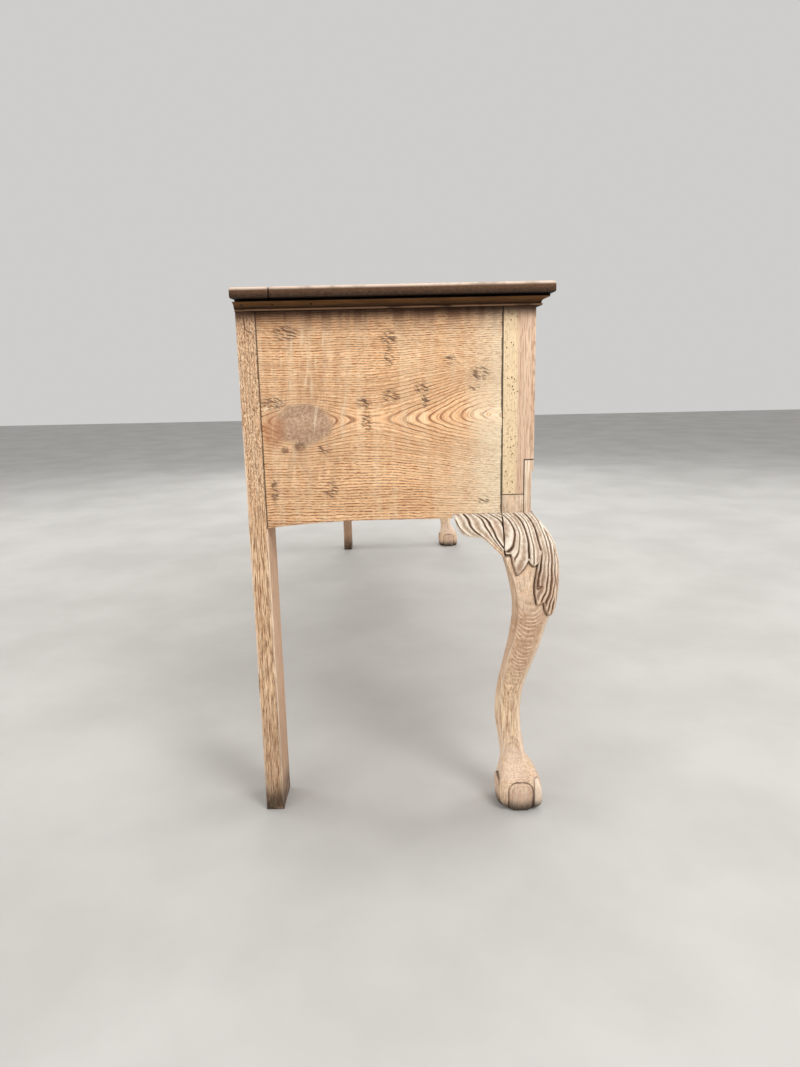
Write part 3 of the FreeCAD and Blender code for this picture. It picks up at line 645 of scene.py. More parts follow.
def carved_oak(name):
    """Bleached oak of the legs and ears: pale ridges, painted shade in the hollows, the cuts and round the
    leaf, and curly grain on the plain shank.
    """
    f = Finish(name, roughness=0.66)
    curl = f.noise((14, 14, 20), 3)
    grain(f, (f.z + 0.06 * (curl - 0.5), f.y, f.x), leg_tones, ring=0.0019, pith=(front + 0.03, left + 0.35),
          wander=0.006, contrast=0.6, streaks=0.6, pores=0.3, shortness=7.0, curls=0.003, breaks=0.5)
    shank_figure(f, curl)
    # The carving's tint: painted shade, darkest in the cuts and round the leaf, with a middling level that
    # marks the ball
    carving_tone_and_shade = f.attribute("carving_tone_and_shade")
    f.lay(0.3 * f.step(carving_tone_and_shade, 0.60, 0.48) * f.step(f.z, *brown_ball_top), tone(192, 164, 152))
    spread = f.noise((260, 260, 150), 4, 0.7) - 0.5
    ridge = f.step(carving_tone_and_shade + 0.9 * spread, 0.35, 1.0)
    leaf_bleach_and_shade = f.mix(ridge, carved_hollow_shade, carved_pale)
    stain = f.patches(0.46, 0.66, (60, 60, 38), 4, 0.65)
    leaf_bleach_and_shade = f.mix(0.5 * stain, leaf_bleach_and_shade, tone(190, 158, 130))
    tan = f.mix(f.step(ridge, 0.35, 1.1), tone(132, 90, 64), tone(232, 196, 164))
    leaf_bleach_and_shade = f.mix(f.step(f.z, *tan_leaf_top) * (0.45 + 0.7 * curl), leaf_bleach_and_shade, tan)
    f.lay(0.9 * f.attribute("leaf"), leaf_bleach_and_shade)
    worn = f.patches(0.32, 0.58, (70, 70, 40), 3)
    # Painted shade in the cuts, in uneven patches
    f.lay(f.step(carving_tone_and_shade + 0.5 * spread, 0.34, 0.02) * (0.5 + 0.45 * worn), carved_cut_shade)
    # Darker toward the floor, in patches
    dirt = f.step(f.z, *leg_dark_foot_top) * f.patches(0, 0.5, (60, 60, 60), 3)
    f.lay(0.9 * dirt, grime)
    return f.close(0.0004)


def top_oak(name):
    """Boards that are brown on top, dark on their end and front edges, worn pale along the arris with a
    painted highlight there, and with painted shade along their underside.
    """
    f = Finish(name, roughness=0.5, specular=0.2)
    grain(f, f.flow("x"), top_tones, ring=0.0052, pith=(0.72, 0.09), wander=0.03)
    rings = f.noise((4, 160, 300), 4, 0.65)
    rim = f.step(f.least(top_high.x - abs(f.x), f.y - top_low.y), 0.0075, 0.0025)
    fade = f.step(f.z, top_low.z, top_high.z - 0.004) + 1.6 * (rings - 0.5)
    f.lay(0.95 * rim, f.mix(fade, *end_grain_tones))
    patch = f.patches(0.34, 0.56, (30, 30, 30), 3)
    # Pale arris: worn wood with a painted highlight
    arris = f.step(f.z, top_high.z - 0.0056, top_high.z - 0.0016) * rim
    f.lay(arris * (0.5 + 0.42 * patch), worn_arris_and_highlight)
    f.lay(0.85 * f.line(f.y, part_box("top_board_rear")[0].y, 0.0014, 0.0005), joint_dark_and_shade)
    # Painted shade along the underside of the top, over the gap above the moulding
    f.lay(f.step(f.z, top_low.z + 0.0016, top_low.z + 0.0004), joint_dark_and_shade)
    return f.close(roughness=0.42 + 0.16 * patch)


def moulding_oak(name, axis):
    """Dark strip with a painted highlight up its cove and painted shade low on it, a worn bead along its
    foot, and painted black shade under the bead and along its top.
    """
    f = Finish(name, roughness=0.6, specular=0.15)
    grain(f, f.flow(axis), moulding_tones, ring=0.003, contrast=0.5)
    low = moulding_low.z
    high = moulding_high.z
    lit_patches = f.patches(0.42, 0.62, (14, 14, 140), 3)
    # Painted highlight up the cove, in patches
    f.lay(f.step(f.z, low + 0.005, high - 0.001) * (0.55 + 0.4 * lit_patches), moulding_lit)
    # Painted shade low on the cove
    f.lay(0.8 * f.step(f.z, low + 0.0075, low + 0.0035), moulding_shade)
    worn = f.patches(0.25, 0.5, (24, 24, 60))
    f.lay(0.75 * f.line(f.z, low + 0.0016, 0.0019, 0.0010) * worn, tone(142, 108, 80))
    # Painted shadow under the bead
    f.lay(f.step(f.z, low + 0.0007, low + 0.0001), joint_dark_and_shade)
    # Painted black shade along the top, in the gap under the top board
    f.lay(f.step(f.z, high - 0.0006, high - 0.0001), joint_dark_and_shade)
    return f.close(0.0004)


def metal(name, tones, metallic, roughness):
    """Old metal: worn bright in some patches, dull and brown in others."""
    f = Finish(name, roughness=roughness, specular=0.5)
    dark, middle, pale = tones
    fine = f.patches(0.4, 0.62, (900, 900, 900))
    tarnish = f.patches(0.5, 0.66, (70, 70, 70), 4)
    f.colour = f.mix(f.patches(0.38, 0.62, (160, 160, 160), 4), middle, pale)
    f.lay(0.75 * tarnish, dark)
    f.shader.inputs["Metallic"].default_value = metallic
    f.height = 0.4 * fine + tarnish
    return f.close(0.00012, roughness + 0.22 * tarnish + 0.08 * fine)


def edge_normals():
    """Nodes that shade curved faces smooth and keep edges sharper than 35 degrees."""
    group = bpy.data.node_groups.new("edge_normals", "GeometryNodeTree")
    for way in ("INPUT", "OUTPUT"):
        group.interface.new_socket("Geometry", in_out=way, socket_type="NodeSocketGeometry")
    start = group.nodes.new("NodeGroupInput")
    end = group.nodes.new("NodeGroupOutput")
    angle = group.nodes.new("GeometryNodeInputMeshEdgeAngle")
    sharp = group.nodes.new("FunctionNodeCompare")
    sharp.operation = "GREATER_THAN"
    sharp.inputs[1].default_value = math.radians(35)
    normals = group.nodes.new("GeometryNodeSetMeshNormal")
    normals.inputs["Remove Custom"].default_value = True
    normals.inputs["Face Sharpness"].default_value = False
    group.links.new(angle.outputs["Unsigned Angle"], sharp.inputs[0])
    group.links.new(start.outputs[0], normals.inputs["Mesh"])
    group.links.new(sharp.outputs[0], normals.inputs["Edge Sharpness"])
    group.links.new(normals.outputs[0], end.inputs[0])
    return group


normals_group = edge_normals()


def soften(piece, width):
    """Rounds the sharp edges of a piece by a width, as hands and time do, and shades its curves smooth."""
    weld = piece.modifiers.new("weld", "WELD")
    weld.merge_threshold = 0.00001
    if width > 0:
        flat = piece.modifiers.new("flat", "DECIMATE")
        flat.decimate_type = "DISSOLVE"
        flat.angle_limit = math.radians(0.5)
        bevel = piece.modifiers.new("bevel", "BEVEL")
        bevel.width = width
        bevel.segments = 2
        bevel.limit_method = "ANGLE"
        bevel.angle_limit = math.radians(50)
    piece.modifiers.new("normals", "NODES").node_group = normals_group


def both(stem):
    return [stem + side for side in sides]


def dress(names, finish, width=0.0, rounded=False):
    """Gives nodes of the frame their finish and soft edges."""
    for name in names:
        piece = nodes[name]
        for place in piece.material_slots:
            place.material = finish
        soften(piece, width)
        if rounded:
            curve = piece.modifiers.new("curve", "SUBSURF")
            curve.levels = 2
            curve.render_levels = 2


def place_object(name, data):
    made = bpy.data.objects.new(name, data)
    scene.collection.objects.link(made)
    return made


def carved_piece(name, node, points, faces, finish, marks):
    """A mesh with marks at its points, which rides on the carcass in place of a node of the frame."""
    mesh = bpy.data.meshes.new(name)
    mesh.from_pydata([tuple(p) for p in points], [], [tuple(face) for face in faces])
    mesh.polygons.foreach_set("use_smooth", [True] * len(mesh.polygons))
    for mark, values in marks.items():
        mesh.attributes.new(mark, "FLOAT", "POINT").data.foreach_set("value", values.astype(np.float32))
    mesh.update()
    mesh.materials.append(finish)
    piece = place_object(name, mesh)
    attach(piece, "carcass")
    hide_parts(node)


def ease(value, low, high):
    """0 at low and 1 at high, easing between them; low may be the larger."""
    share = np.clip((value - low) / (high - low), 0.0, 1.0)
    return share * share * (3 - 2 * share)


def ridge_at(distance, width):
    """1 at no distance, falling away on both sides like a bell."""
    return np.exp(-(distance / width) ** 2)


def smooth_through(at, stations, values):
    """Values on one smooth curve through given stations."""
    at = np.clip(at, stations[0], stations[-1])
    slopes = np.gradient(values, stations)
    index = np.clip(np.searchsorted(stations, at) - 1, 0, len(stations) - 2)
    step = stations[index + 1] - stations[index]
    t = (at - stations[index]) / step
    start = values[index] * (1 + 2 * t) * (1 - t) ** 2 + slopes[index] * step * t * (1 - t) ** 2
    end = values[index + 1] * t ** 2 * (3 - 2 * t) + slopes[index + 1] * step * t ** 2 * (t - 1)
    return start + end


# Front legs, in millimetres: height, outer face, inner face and corner radius of each section,
# measured inward from the end and front faces of the carcass, the same both ways
leg_sections = np.array((
    (0.0, -12.0, 37.0, 12.0), (9.0, -19.5, 45.5, 12.0), (28.0, -21.5, 49.0, 12.0),
    (46.0, -18.6, 48.8, 13.0), (64.0, -10.0, 45.6, 14.0), (80.0, 1.0, 44.1, 14.0),
    (106.0, 6.8, 46.6, 14.0), (150.0, 11.5, 52.6, 15.0), (201.0, 8.6, 50.3, 16.0),
    (254.5, -4.9, 41.5, 18.0), (308.0, -22.8, 32.9, 21.0), (359.0, -36.4, 30.1, 25.0),
    (405.0, -40.0, 37.3, 25.0), (440.0, -37.7, 46.0, 20.0), (472.0, -27.0, 48.3, 13.0),
    (492.0, -12.5, 48.3, 7.0), (507.0, 0.0, 48.3, 3.0)))
side_clearance = 0.2
knee_top = knee_height / mm
leg_width = (stile_back - front) / mm - side_clearance
ear_bottom = ear_low.z / mm
crisp_rise = (150.0, 290.0)
crisp_corner = 5.0
ear_joint_corner = 1.2
arris_foot = (60.0, 110.0)
arris_top = (420.0, 330.0)
shank_tint = 0.66
ball_tint = 0.46

# The block above each knee, behind the apron's end
block_low = (0.3, apron_back / mm + side_clearance, knee_top - 1.0)
block_high = (leg_width, leg_width, joint_height / mm - 0.3)
block_chamfer = 0.7

# Mesh of a leg: spacing of its rows, where the close ones of the knee start, the points around it, the
# direction of its outer corner and how far the close columns reach from there, both in degrees
foot_row = 1.0
shank_row = 2.5
knee_row = 0.8
knee_rows_start = 330.0
outer_columns = 264
inner_columns = 24
outer_corner_turn = 225
outer_reach = 150

# Each face of a foot shows a ball inside an incised line, and its outer corner a squared claw
ball_middle = 15.0
ball_half_width = 20.8
ball_top = 50.5
ball_bottom = -3.0
ball_corner = 15.5
ball_face = -23.5
ball_inner_swell = 3.5
ball_dome = 5.5
ball_dome_reach = 20.0
ball_line_width = 1.1
claw_edge = -7.5
claw_top = 56.0
claw_corner = 6.0
claw_line_width = 1.2
claw_sunk = 0.9
claw_wear = 1.6
foot_line_depth = 1.8
foot_top = 84.0

# Acanthus leaf on each knee, as distance from the outer corner faces and height, in millimetres
leaf_outline = np.array((
    (56.0, 520.0), (56.0, 451.0), (38.0, 449.5), (36.5, 446.0), (34.5, 434.0), (28.5, 416.0),
    (19.5, 426.0), (11.0, 440.0), (8.0, 434.0), (2.8, 430.0), (-3.5, 434.5), (-7.2, 452.0),
    (-3.0, 428.0), (0.4, 402.0), (0.6, 387.0), (-3.5, 367.0), (-10.0, 370.0), (-13.5, 372.0),
    (-17.7, 356.0), (-26.0, 344.5), (-31.0, 352.0), (-60.0, 352.0), (-60.0, 520.0)))
leaf_nick = np.array(((2.0, 397.0), (-4.0, 393.0), (-10.0, 397.0)))
leaf_nick_depth = 3.0
leaf_relief = 5.0
leaf_undercut = 2.4
leaf_bottom = 262.0
leaf_ground_top = 330.0
leaf_ground_side = (46.0, 34.0)
# Height of the painted shadow under the lowest lobe
under_lobe_shadow_height = 447.0

# Flutes of the leaf follow a family of ellipses; the cuts between them, by place and depth
flute_first_middle = 58.0
flute_first_height = 474.0
flute_drop_share = 0.885
flute_reach = 29.0
flute_hollow = 2.4
flute_cuts = np.array((-30.0, -2.4, 5.2, 18.9, 25.6, 36.6, 48.2, 54.5, 59.5, 64.5))
flute_depths = np.array((3.0, 4.8, 1.6, 5.0, 1.6, 5.0, 2.0, 4.4, 2.0, 2.4))


def distance_inside(a, b, outline):
    """Distance to a closed outline, positive inside it."""
    nearest = np.full(a.shape, 1e9)
    inside = np.zeros(a.shape, bool)
    for (a0, b0), (a1, b1) in zip(outline, np.roll(outline, -1, axis=0)):
        da = a1 - a0
        db = b1 - b0
        t = np.clip(((a - a0) * da + (b - b0) * db) / (da * da + db * db), 0, 1)
        nearest = np.minimum(nearest, np.hypot(a - a0 - t * da, b - b0 - t * db))
        crosses = (b0 > b) != (b1 > b)
        at = a0 + (b - b0) * da / (db if abs(db) > 1e-9 else 1e-9)
        inside ^= crosses & (a < at)
    return np.where(inside, nearest, -nearest)


def flute_place(across, up):
    """Place of a point across the leaf's flutes, in millimetres, found by halving steps."""
    low = np.full(across.shape, -90.0)
    high = np.full(across.shape, 150.0)
    for _ in range(26):
        place = (low + high) / 2
        middle = flute_first_height - flute_drop_share * place
        rise = np.maximum(knee_top + 2 - middle, 10.0)
        share = np.clip((up - middle) / rise, -1, 1)
        beyond = across < flute_first_middle - place - flute_reach * np.sqrt(1 - share ** 2)
        low = np.where(beyond, place, low)
        high = np.where(beyond, high, place)
    return place


def fluted(place, cuts, depths):
    """Depth in millimetres, and a tint of painted shade that is 0 in the cuts, 1 on the ridges and middling
    in the hollows.
    """
    after = np.clip(np.searchsorted(cuts, place), 1, len(cuts) - 1)
    from_low = np.abs(place - cuts[after - 1])
    to_high = np.abs(cuts[after] - place)
    gap = np.minimum(from_low, to_high)
    depth = np.where(from_low < to_high, depths[after - 1], depths[after])
    half = np.maximum((cuts[after] - cuts[after - 1]) / 2, 2.6)
    hollow = np.clip((half - 2.0) / 4.0, 0.0, 1.0) * ease(gap, 1.8, half)
    sunk = depth * (1 - ease(gap, 0.0, 0.9 + 0.4 * depth)) + flute_hollow * hollow
    tint = ease(gap, 0.2, 0.8 + 0.45 * depth) * (1 - 0.5 * hollow)
    return sunk, tint


def leaf_carving(across, up):
    """Depth, tint and leaf mask of the carving on a knee; the tint holds painted shade in the cuts, round the
    leaf's edge and under its lowest lobe.
    """
    wobble = 0.7 * np.sin(up * 0.11 + across * 0.05) + 0.4 * np.sin(up * 0.23 - across * 0.19)
    sunk, tint = fluted(flute_place(across, up) + wobble, flute_cuts, flute_depths)
    inside = distance_inside(across, up, leaf_outline)
    nick = ridge_at(distance_inside(across, up, leaf_nick), 1.6)
    rim = ease(inside, 3.2, 0.8)
    sunk = np.maximum(sunk, leaf_nick_depth * nick) * (1 - 0.7 * rim)
    tint = np.maximum(np.minimum(tint, 1 - nick), 0.85 * rim)
    leaf = ease(inside, -0.7, 0.5)
    ground = leaf_relief * ease(up, leaf_bottom, leaf_ground_top) * ease(across, *leaf_ground_side)
    undercut = leaf_undercut * ridge_at(inside + 1.8, 1.4)
    depth = leaf * sunk + (1 - leaf) * (ground + undercut)
    # Painted shadow round the leaf's edge
    plain = shank_tint * (1 - ridge_at(inside + 1.0, 2.6))
    # Painted shadow under the lowest lobe
    plain = plain * (1 - 0.9 * ease(across, 36.0, 39.0) * ridge_at(up - under_lobe_shadow_height, 4.0))
    return depth, leaf * tint + (1 - leaf) * plain, leaf


def foot_carving(along, up, at_corner, inward, outer):
    """Depth, tint and claw mask of the ball in each face of a foot and the claw at its outer corner; the tint
    holds painted shade in the incised lines.
    """
    aside = np.abs(along - ball_middle) - (ball_half_width - ball_corner)
    above = np.abs(up - (ball_top + ball_bottom) / 2) - ((ball_top - ball_bottom) / 2 - ball_corner)
    outside = np.hypot(np.maximum(aside, 0), np.maximum(above, 0)) + np.minimum(np.maximum(aside, above), 0)
    outside = outside - ball_corner
    ball = ease(outside, 0.5, -0.5)
    dome = ball_dome * (1 - np.clip(-outside / ball_dome_reach, 0, 1)) ** 2 + 2.0 * ease(up, 6.0, 0.0)
    sunk = ball * (ball_face - ball_inner_swell * inward + dome - outer)
    from_claw = np.maximum(along - claw_edge, up - claw_top)
    claw = ease(from_claw, 0.4, -0.4) * at_corner
    claw_line = ridge_at(from_claw, claw_line_width) * at_corner
    # Painted shade in the incised lines round the ball and the claw
    line = np.maximum(ridge_at(outside, ball_line_width), claw_line)
    tint = shank_tint + (ball_tint - shank_tint) * ball
    return sunk + foot_line_depth * line + claw_sunk * claw, tint * (1 - line), claw


def rounded_square(cos, sin, half, corner):
    """Distance from the middle of a square with rounded corners to its edge, in each direction."""
    long = np.maximum(np.abs(cos), np.abs(sin))
    short = np.minimum(np.abs(cos), np.abs(sin))
    straight = half / long
    flat = half - corner
    reach = (long + short) * flat
    bend = reach + np.sqrt(np.maximum(reach ** 2 - 2 * flat ** 2 + corner ** 2, 0))
    return np.where(straight * short <= flat, straight, bend)


def leg_form():
    """A front leg before carving, from the floor to the knee's top, rows by height and columns around:
    its points, their outward directions, the outer face of each row and the turn of each column."""
    rows = (np.arange(0.0, foot_top, foot_row), np.arange(foot_top, knee_rows_start, shank_row),
            np.arange(knee_rows_start, knee_top, knee_row), (knee_top,))
    height = np.concatenate(rows)[:, None]
    close = np.linspace(-outer_reach, outer_reach, outer_columns, endpoint=False)
    wide = np.linspace(outer_reach, 360 - outer_reach, inner_columns, endpoint=False)
    turn = np.concatenate((close, wide))[None, :]
    cos = np.cos(np.radians(outer_corner_turn + turn))
    sin = np.sin(np.radians(outer_corner_turn + turn))
    outer, inner, corner = (smooth_through(height, leg_sections[:, 0], leg_sections[:, i]) for i in (1, 2, 3))
    inner = np.where(height > ear_bottom - 10.0, np.minimum(inner, leg_width), inner)
    half = (inner - outer) / 2
    middle = (inner + outer) / 2
    beside_ear = ease(height, ear_bottom - 29.0, ear_bottom + 4.0)
    crisp = ease(height, *crisp_rise)
    side_corner = corner * (1 - crisp) + crisp_corner * crisp
    side_corner = side_corner * (1 - beside_ear) + ear_joint_corner * beside_ear
    squared = ease(height, claw_top + 2.0, claw_top - 1.0)
    outer_corner = corner * (1 - squared) + claw_corner * squared
    corner = np.where((cos < 0) == (sin < 0), corner, side_corner)
    corner = np.where((cos < 0) & (sin < 0), outer_corner, corner)
    radius = rounded_square(cos, sin, half, np.minimum(corner, half * 0.95))
    up = np.broadcast_to(height, radius.shape)
    points = np.stack((middle + radius * cos, middle + radius * sin, up), axis=2)

    around = np.roll(points, -1, axis=1) - np.roll(points, 1, axis=1)
    normal = np.cross(around, np.gradient(points, axis=0))
    normal[:, :, 2] *= ease(height, foot_top - 20.0, foot_top)
    normal /= np.linalg.norm(normal, axis=2, keepdims=True) + 1e-9
    return points, normal, outer, turn


def leg_surface():
    """Points of a carved leg and its marks: the carving's tint with its painted shade, the leaf mask and the
    arris, worn and lightened as a painted highlight.
    """
    points, normal, outer, turn = leg_form()
    x, y, up = np.moveaxis(points, 2, 0)
    cos = np.cos(np.radians(outer_corner_turn + turn))
    sin = np.sin(np.radians(outer_corner_turn + turn))
    facing = ease(-np.minimum(cos, sin), 0.05, 0.35) * np.ones_like(x)
    depth, tint, leaf = leaf_carving(np.maximum(x, y), up)
    depth = depth * facing * ease(knee_top - up, 0.0, 3.0)
    tint = tint * facing + shank_tint * (1 - facing)
    along = np.where(np.abs(cos) > np.abs(sin), y, x)
    at_corner = ease(np.abs(turn), 52.0, 44.0)
    inward = ease(np.maximum(cos, sin), 0.6, 0.8)
    foot_depth, foot_tint, claw = foot_carving(along, up, at_corner, inward, outer)
    depth = np.where(up < foot_top, foot_depth, np.where(up > leaf_bottom, depth, 0.0))
    tint = np.where(up < foot_top, foot_tint, np.where(up > leaf_bottom, tint, shank_tint))
    points = points - normal * depth[:, :, None]
    # Pale arrises at the outer and side corners: worn wood with a painted highlight along them
    worn = ridge_at(turn, 9.0) + 0.9 * ridge_at(np.abs(turn) - 90.0, 4.0)
    worn = worn * ease(up, *arris_foot) * ease(up, *arris_top)
    arris = np.where(up < foot_top, np.maximum(worn, claw_wear * claw), worn)
    return points, {"carving_tone_and_shade": tint, "leaf": np.where(up > leaf_bottom, leaf * facing, 0.0), "arris": arris}


def grid_quads(index):
    """Quads between the neighbours in a grid of point numbers."""
    return np.stack((index[:-1, :-1], index[:-1, 1:], index[1:, 1:], index[1:, :-1]), axis=2).reshape(-1, 4)


def tube_faces(rows, columns):
    """Quads of a closed tube and the two caps at its ends."""
    index = np.arange(rows * columns).reshape(rows, columns)
    return [*grid_quads(np.hstack((index, index[:, :1]))), index[0, ::-1], index[-1]]


def chamfered_block(low, high, chamfer):
    """Points and faces of a block with chamfered edges."""
    points = []
    for ends in itertools.product((0, 1), repeat=3):
        corner = np.array([(low, high)[end][axis] for axis, end in enumerate(ends)])
        inward = chamfer * (1 - 2 * np.array(ends))
        points += [corner + inward * (np.arange(3) != axis) for axis in range(3)]
    shell = bmesh.new()
    made = [shell.verts.new(point) for point in points]
    shell.verts.index_update()
    bmesh.ops.convex_hull(shell, input=made)
    faces = [np.array([v.index for v in face.verts]) for face in shell.faces]
    shell.free()
    return np.array(points), faces


def on_carcass(points, side):
    """Millimetres inward from the end and front faces, as places in the frame."""
    placed = np.array(points, float) * mm
    placed[..., 0] = left + placed[..., 0] if side == "left" else right - placed[..., 0]
    placed[..., 1] += front
    return placed


def turned(faces, flip):
    """The faces, facing the other way where the piece is a mirrored one."""
    return [face[::-1] for face in faces] if flip else faces


def front_leg(side, finish):
    """A carved leg with the block above its knee."""
    points, marks = leg_surface()
    block, block_faces = chamfered_block(block_low, block_high, block_chamfer)
    faces = tube_faces(*marks["carving_tone_and_shade"].shape)
    shell = points.reshape(-1, 3)
    faces += [face + len(shell) for face in block_faces]
    plain = {"carving_tone_and_shade": shank_tint, "leaf": 0.0, "arris": 0.4}
    marks = {name: np.concatenate((values.ravel(), np.full(len(block), plain[name])))
             for name, values in marks.items()}
    shell = on_carcass(np.concatenate((shell, block)), side)
    faces = turned(faces, side == "right")
    carved_piece("carved_leg_" + side, "front_leg_" + side, shell, faces, finish, marks)


# Ears beside the knees: lower edge as distance from the corner and height, in millimetres
ear_lower_edge = np.array((
    (48.8, 444.0), (53.0, 447.5), (66.0, 459.5), (75.0, 467.0), (82.0, 471.0), (90.0, 471.8), (102.5, 471.4),
    (110.0, 475.0), (114.5, 479.5), (118.5, 486.0), (121.2, 494.0), (122.6, 502.0), (123.4, 506.0)))
ear_root = ear_lower_edge[0, 0]
ear_tip = ear_lower_edge[-1, 0]
ear_top = knee_top - 0.4
ear_back = 20.0
ear_tip_swell = 9.0
ear_tip_swell_height = 26.0
ear_rounding = 2.6
ear_seam_depth = 0.8
ear_columns = 104
ear_rows = 80

# Cuts of the ear, by place along its top edge and depth; below the edge they sweep toward the knee
ear_cuts = np.array((30.0, 54.0, 70.0, 88.0, 94.0, 109.0, 128.0))
ear_depths = np.array((2.4, 3.2, 3.8, 4.8, 2.8, 5.0, 2.0))
ear_drops = np.array((0.0, 8.0, 20.0, 28.0, 33.0, 40.0, 62.0))
ear_tip_sweep = np.array((0.0, 6.0, 12.0, 20.0, 27.0, 36.0, 60.0))
ear_root_sweep = np.array((0.0, 15.0, 22.0, 25.5, 27.5, 32.5, 48.0))


def ear_carving(across, up):
    """Depth and tint of the flutes on an ear, the tint being painted shade in the cuts and hollows."""
    drop = knee_top - up
    tip = smooth_through(drop, ear_drops, ear_tip_sweep)
    root = smooth_through(drop, ear_drops, ear_root_sweep)
    place = across + tip
    for _ in range(5):
        share = ease(place, 112.0, 86.0)
        place = across + tip * (1 - share) + root * share
    return fluted(place + 0.6 * np.sin(up * 0.15 + across * 0.08), ear_cuts, ear_depths)


def ear_surface():
    """Outer face of an ear: its depth, place along and height, with its tint and leaf mask."""
    columns = np.linspace(ear_root, ear_tip, ear_columns)
    share = np.linspace(0.0, 1.0, ear_rows)[:, None]
    bottom = np.interp(columns, ear_lower_edge[:, 0], ear_lower_edge[:, 1])[None, :]
    up = bottom + (ear_top - bottom) * share
    across = np.broadcast_to(columns[None, :], up.shape)
    knee_face = smooth_through(up, leg_sections[:, 0], leg_sections[:, 1])
    along = ease(across, 52.0, 120.0)
    drop = np.clip((ear_top - up) / ear_tip_swell_height, 0, 1)
    tip_face = -ear_tip_swell * np.sin(drop * math.pi / 2)
    face = knee_face * (1 - along) + tip_face * along
    sunk, tint = ear_carving(across, up)
    edge = np.minimum(np.minimum((up - bottom) * 0.8, ear_tip - across), 60.0)
    face = face + sunk * ease(ear_top - up, 0.0, 3.0) * ease(edge, 0.0, 4.0)
    face = face + ear_rounding * (1 - ease(edge, 0.0, 3.2))
    face = face + ear_seam_depth * ridge_at(across - ear_root, 0.6)
    tint = np.maximum(tint, 0.85 * ease(edge, 4.0, 1.0)) * ease(across, ear_root - 0.4, ear_root + 0.8)
    plain = ease(across, 74.0, 60.0) * ease(up - bottom, 13.0, 4.0)
    return face, across, up, tint, 1 - plain


def carved_ear(side, at_front, finish):
    """A carved block with a flat back, beside a knee at the end or at the front."""
    face, across, up, tint, leaf = ear_surface()
    skin = np.stack((face, across, up), axis=2).reshape(-1, 3)
    rear = skin.copy()
    rear[:, 0] = ear_back
    index = np.arange(len(skin)).reshape(face.shape)
    quads = grid_quads(index)
    rim = np.concatenate((index[0, :], index[1:, -1], index[-1, -2::-1], index[-2:0:-1, 0]))
    after = np.roll(rim, -1)
    rim_quads = np.stack((rim, after, after + len(skin), rim + len(skin)), axis=1)
    faces = [*quads[:, ::-1], *(quads + len(skin)), *rim_quads]
    points = np.concatenate((skin, rear))
    if at_front:
        points = points[:, (1, 0, 2)]
    plain = np.zeros(len(rear))
    marks = {"carving_tone_and_shade": np.concatenate((tint.ravel(), plain + shank_tint)),
             "leaf": np.concatenate((leaf.ravel(), plain)),
             "arris": np.concatenate((plain, plain))}
    node = ("front_ear_" if at_front else "end_ear_") + side
    flip = at_front != (side == "right")
    carved_piece("carved_" + node, node, on_carcass(points, side), turned(faces, flip), finish, marks)


def add_camera():
    data = bpy.data.cameras.new("camera")
    data.sensor_width = sensor_long_side
    data.lens = focal_pixels / image_height * sensor_long_side
    data.clip_start = 0.02
    yaw = Matrix.Rotation(camera_yaw - math.pi / 2, 4, "Z")
    pitch = Matrix.Rotation(math.pi / 2 - camera_pitch, 4, "X")
    roll = Matrix.Rotation(-camera_roll, 4, "Z")
    scene.camera = place_object("camera", data)
    scene.camera.matrix_world = Matrix.Translation(camera_place) @ yaw @ pitch @ roll


# Room around the piece: half the floor's length in metres and the strength of the even light
floor_reach = 9.0
surrounding_light = 0.62


def add_lamp(name, place, target, size, watts):
    data = bpy.data.lights.new(name, "AREA")
    data.shape = "DISK"
    data.size = size
    data.energy = watts
    lamp = place_object(name, data)
    lamp.location = place
    lamp.rotation_mode = "QUATERNION"
    lamp.rotation_quaternion = (Vector(target) - Vector(place)).to_track_quat("-Z", "Y")


def add_room():
    """Pale floor, even surrounding light and soft lamps on every side."""
    f = Finish("floor", roughness=0.85)
    mottle = f.patches(0.3, 0.7, (3, 3, 3), 4)
    f.colour = f.mix(mottle, (0.46, 0.45, 0.43, 1.0), (0.52, 0.51, 0.49, 1.0))
    reach = floor_reach
    corners = [(-reach, -reach, 0), (reach, -reach, 0), (reach, reach, 0), (-reach, reach, 0)]
    mesh = bpy.data.meshes.new("floor")
    mesh.from_pydata(corners, [], [(0, 1, 2, 3)])
    mesh.materials.append(f.close())
    floor = place_object("floor", mesh)
    world = bpy.data.worlds.new("world")
    scene.world = world
    world.use_nodes = True
    light = world.node_tree.nodes["Background"]
    light.inputs["Color"].default_value = (1.0, 0.99, 0.97, 1.0)
    light.inputs["Strength"].default_value = surrounding_light
    middle = (0.0, 0.0, 0.45)
    add_lamp("key", (-2.6, -1.3, 2.3), (left, 0.0, 0.5), 1.2, 42.0)
    add_lamp("fill", (-2.6, 1.9, 1.3), (left, 0.0, 0.4), 1.6, 13.0)
    add_lamp("overhead", (0.0, -0.4, 3.4), middle, 2.6, 40.0)
    add_lamp("front", (0.9, -3.6, 1.8), middle, 2.0, 46.0)
    add_lamp("rear", (0.6, 3.6, 1.8), middle, 2.0, 44.0)
    add_lamp("far_end", (3.3, 0.2, 1.6), middle, 1.6, 32.0)


scene.view_settings.view_transform = "Standard"
add_camera()
add_room()

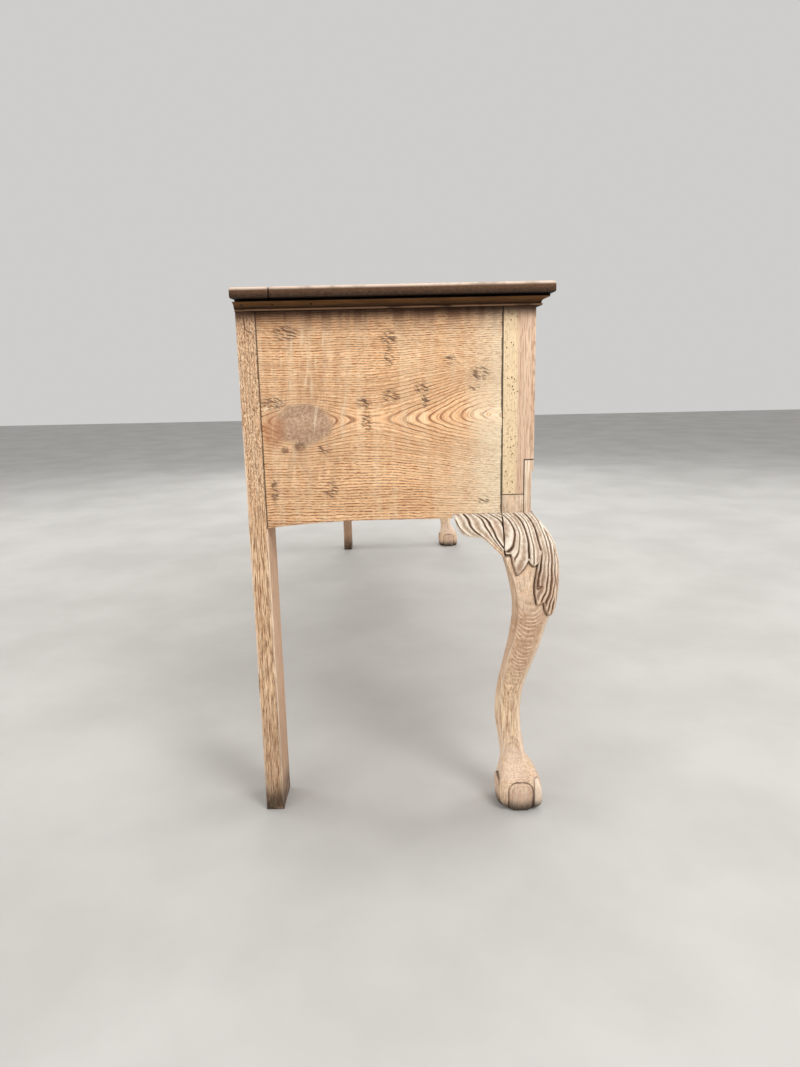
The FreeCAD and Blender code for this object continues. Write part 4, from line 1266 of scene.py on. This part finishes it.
carved = carved_oak("carved_oak")
brass = metal("aged_brass", brass_tones, 0.9, 0.34)
iron = metal("old_iron", iron_tones, 0.7, 0.55)
lining = plain_wood("lining_oak", "y", lining_tones, ring=0.003, contrast=0.35)
cross_lining = plain_wood("cross_lining_oak", "x", lining_tones, ring=0.003, contrast=0.35)
pine = plain_wood("pine", "x", pine_tones, ring=0.006, contrast=0.4, wander=0.03)
deep_pine = plain_wood("deep_pine", "y", pine_tones, ring=0.005, contrast=0.4)
rail_oak = plain_wood("rail_oak", "x", stile_tones, True, ring=0.004, pith=(0.70, -0.10), contrast=0.6,
                      wander=0.02)
post_oak = plain_wood("post_oak", "z", stile_tones, True, ring=0.003, contrast=0.5)

# Rounding of the edges, in metres
top_edge = 0.0030
leg_edge = 0.0014
rail_edge = 0.0010
face_edge = 0.0009
inner_edge = 0.0008
drawer_edge = 0.0006

dress(("top_board_rear", "top_board_front"), top_oak("top_oak"), top_edge)
dress(both("end_moulding_"), moulding_oak("end_moulding_oak", "y"))
dress(("front_moulding",), moulding_oak("front_moulding_oak", "x"))
dress(("moulding_nails",), iron)
dress(both("rear_leg_"), rear_leg_oak("rear_leg_oak"), leg_edge)
dress(both("front_stile_"), stile_oak("stile_oak"), face_edge)
dress(both("side_panel_"), panel_oak("panel_oak"), face_edge)
dress(("front_apron",), apron_oak("apron_oak"), inner_edge)
dress(("front_top_rail", "drawer_rail"), rail_oak, rail_edge)
dress(both("divider_"), post_oak, inner_edge)
dress(both("runner_end_") + both("runner_centre_") + ["kickers"], deep_pine, inner_edge)
dress(("back_top_rail", "back_bottom_rail"), pine, rail_edge)
dress(("back_board_lower", "back_board_upper"), back_pine("back_pine"), rail_edge)
for drawer in drawers:
    stem = drawer + "_drawer_"
    dress((stem + "front",), drawer_front_oak(stem + "front_oak", stem + "front"), drawer_edge)
    dress(both(stem + "side_"), lining, drawer_edge)
    dress((stem + "back", stem + "bottom"), cross_lining, drawer_edge)
    dress((stem + "handle_posts", stem + "handle_nuts"), brass)
    dress(both(stem + "bail_"), brass, rounded=True)

for side in sides:
    front_leg(side, carved)
    for at_front in (False, True):
        carved_ear(side, at_front, carved)
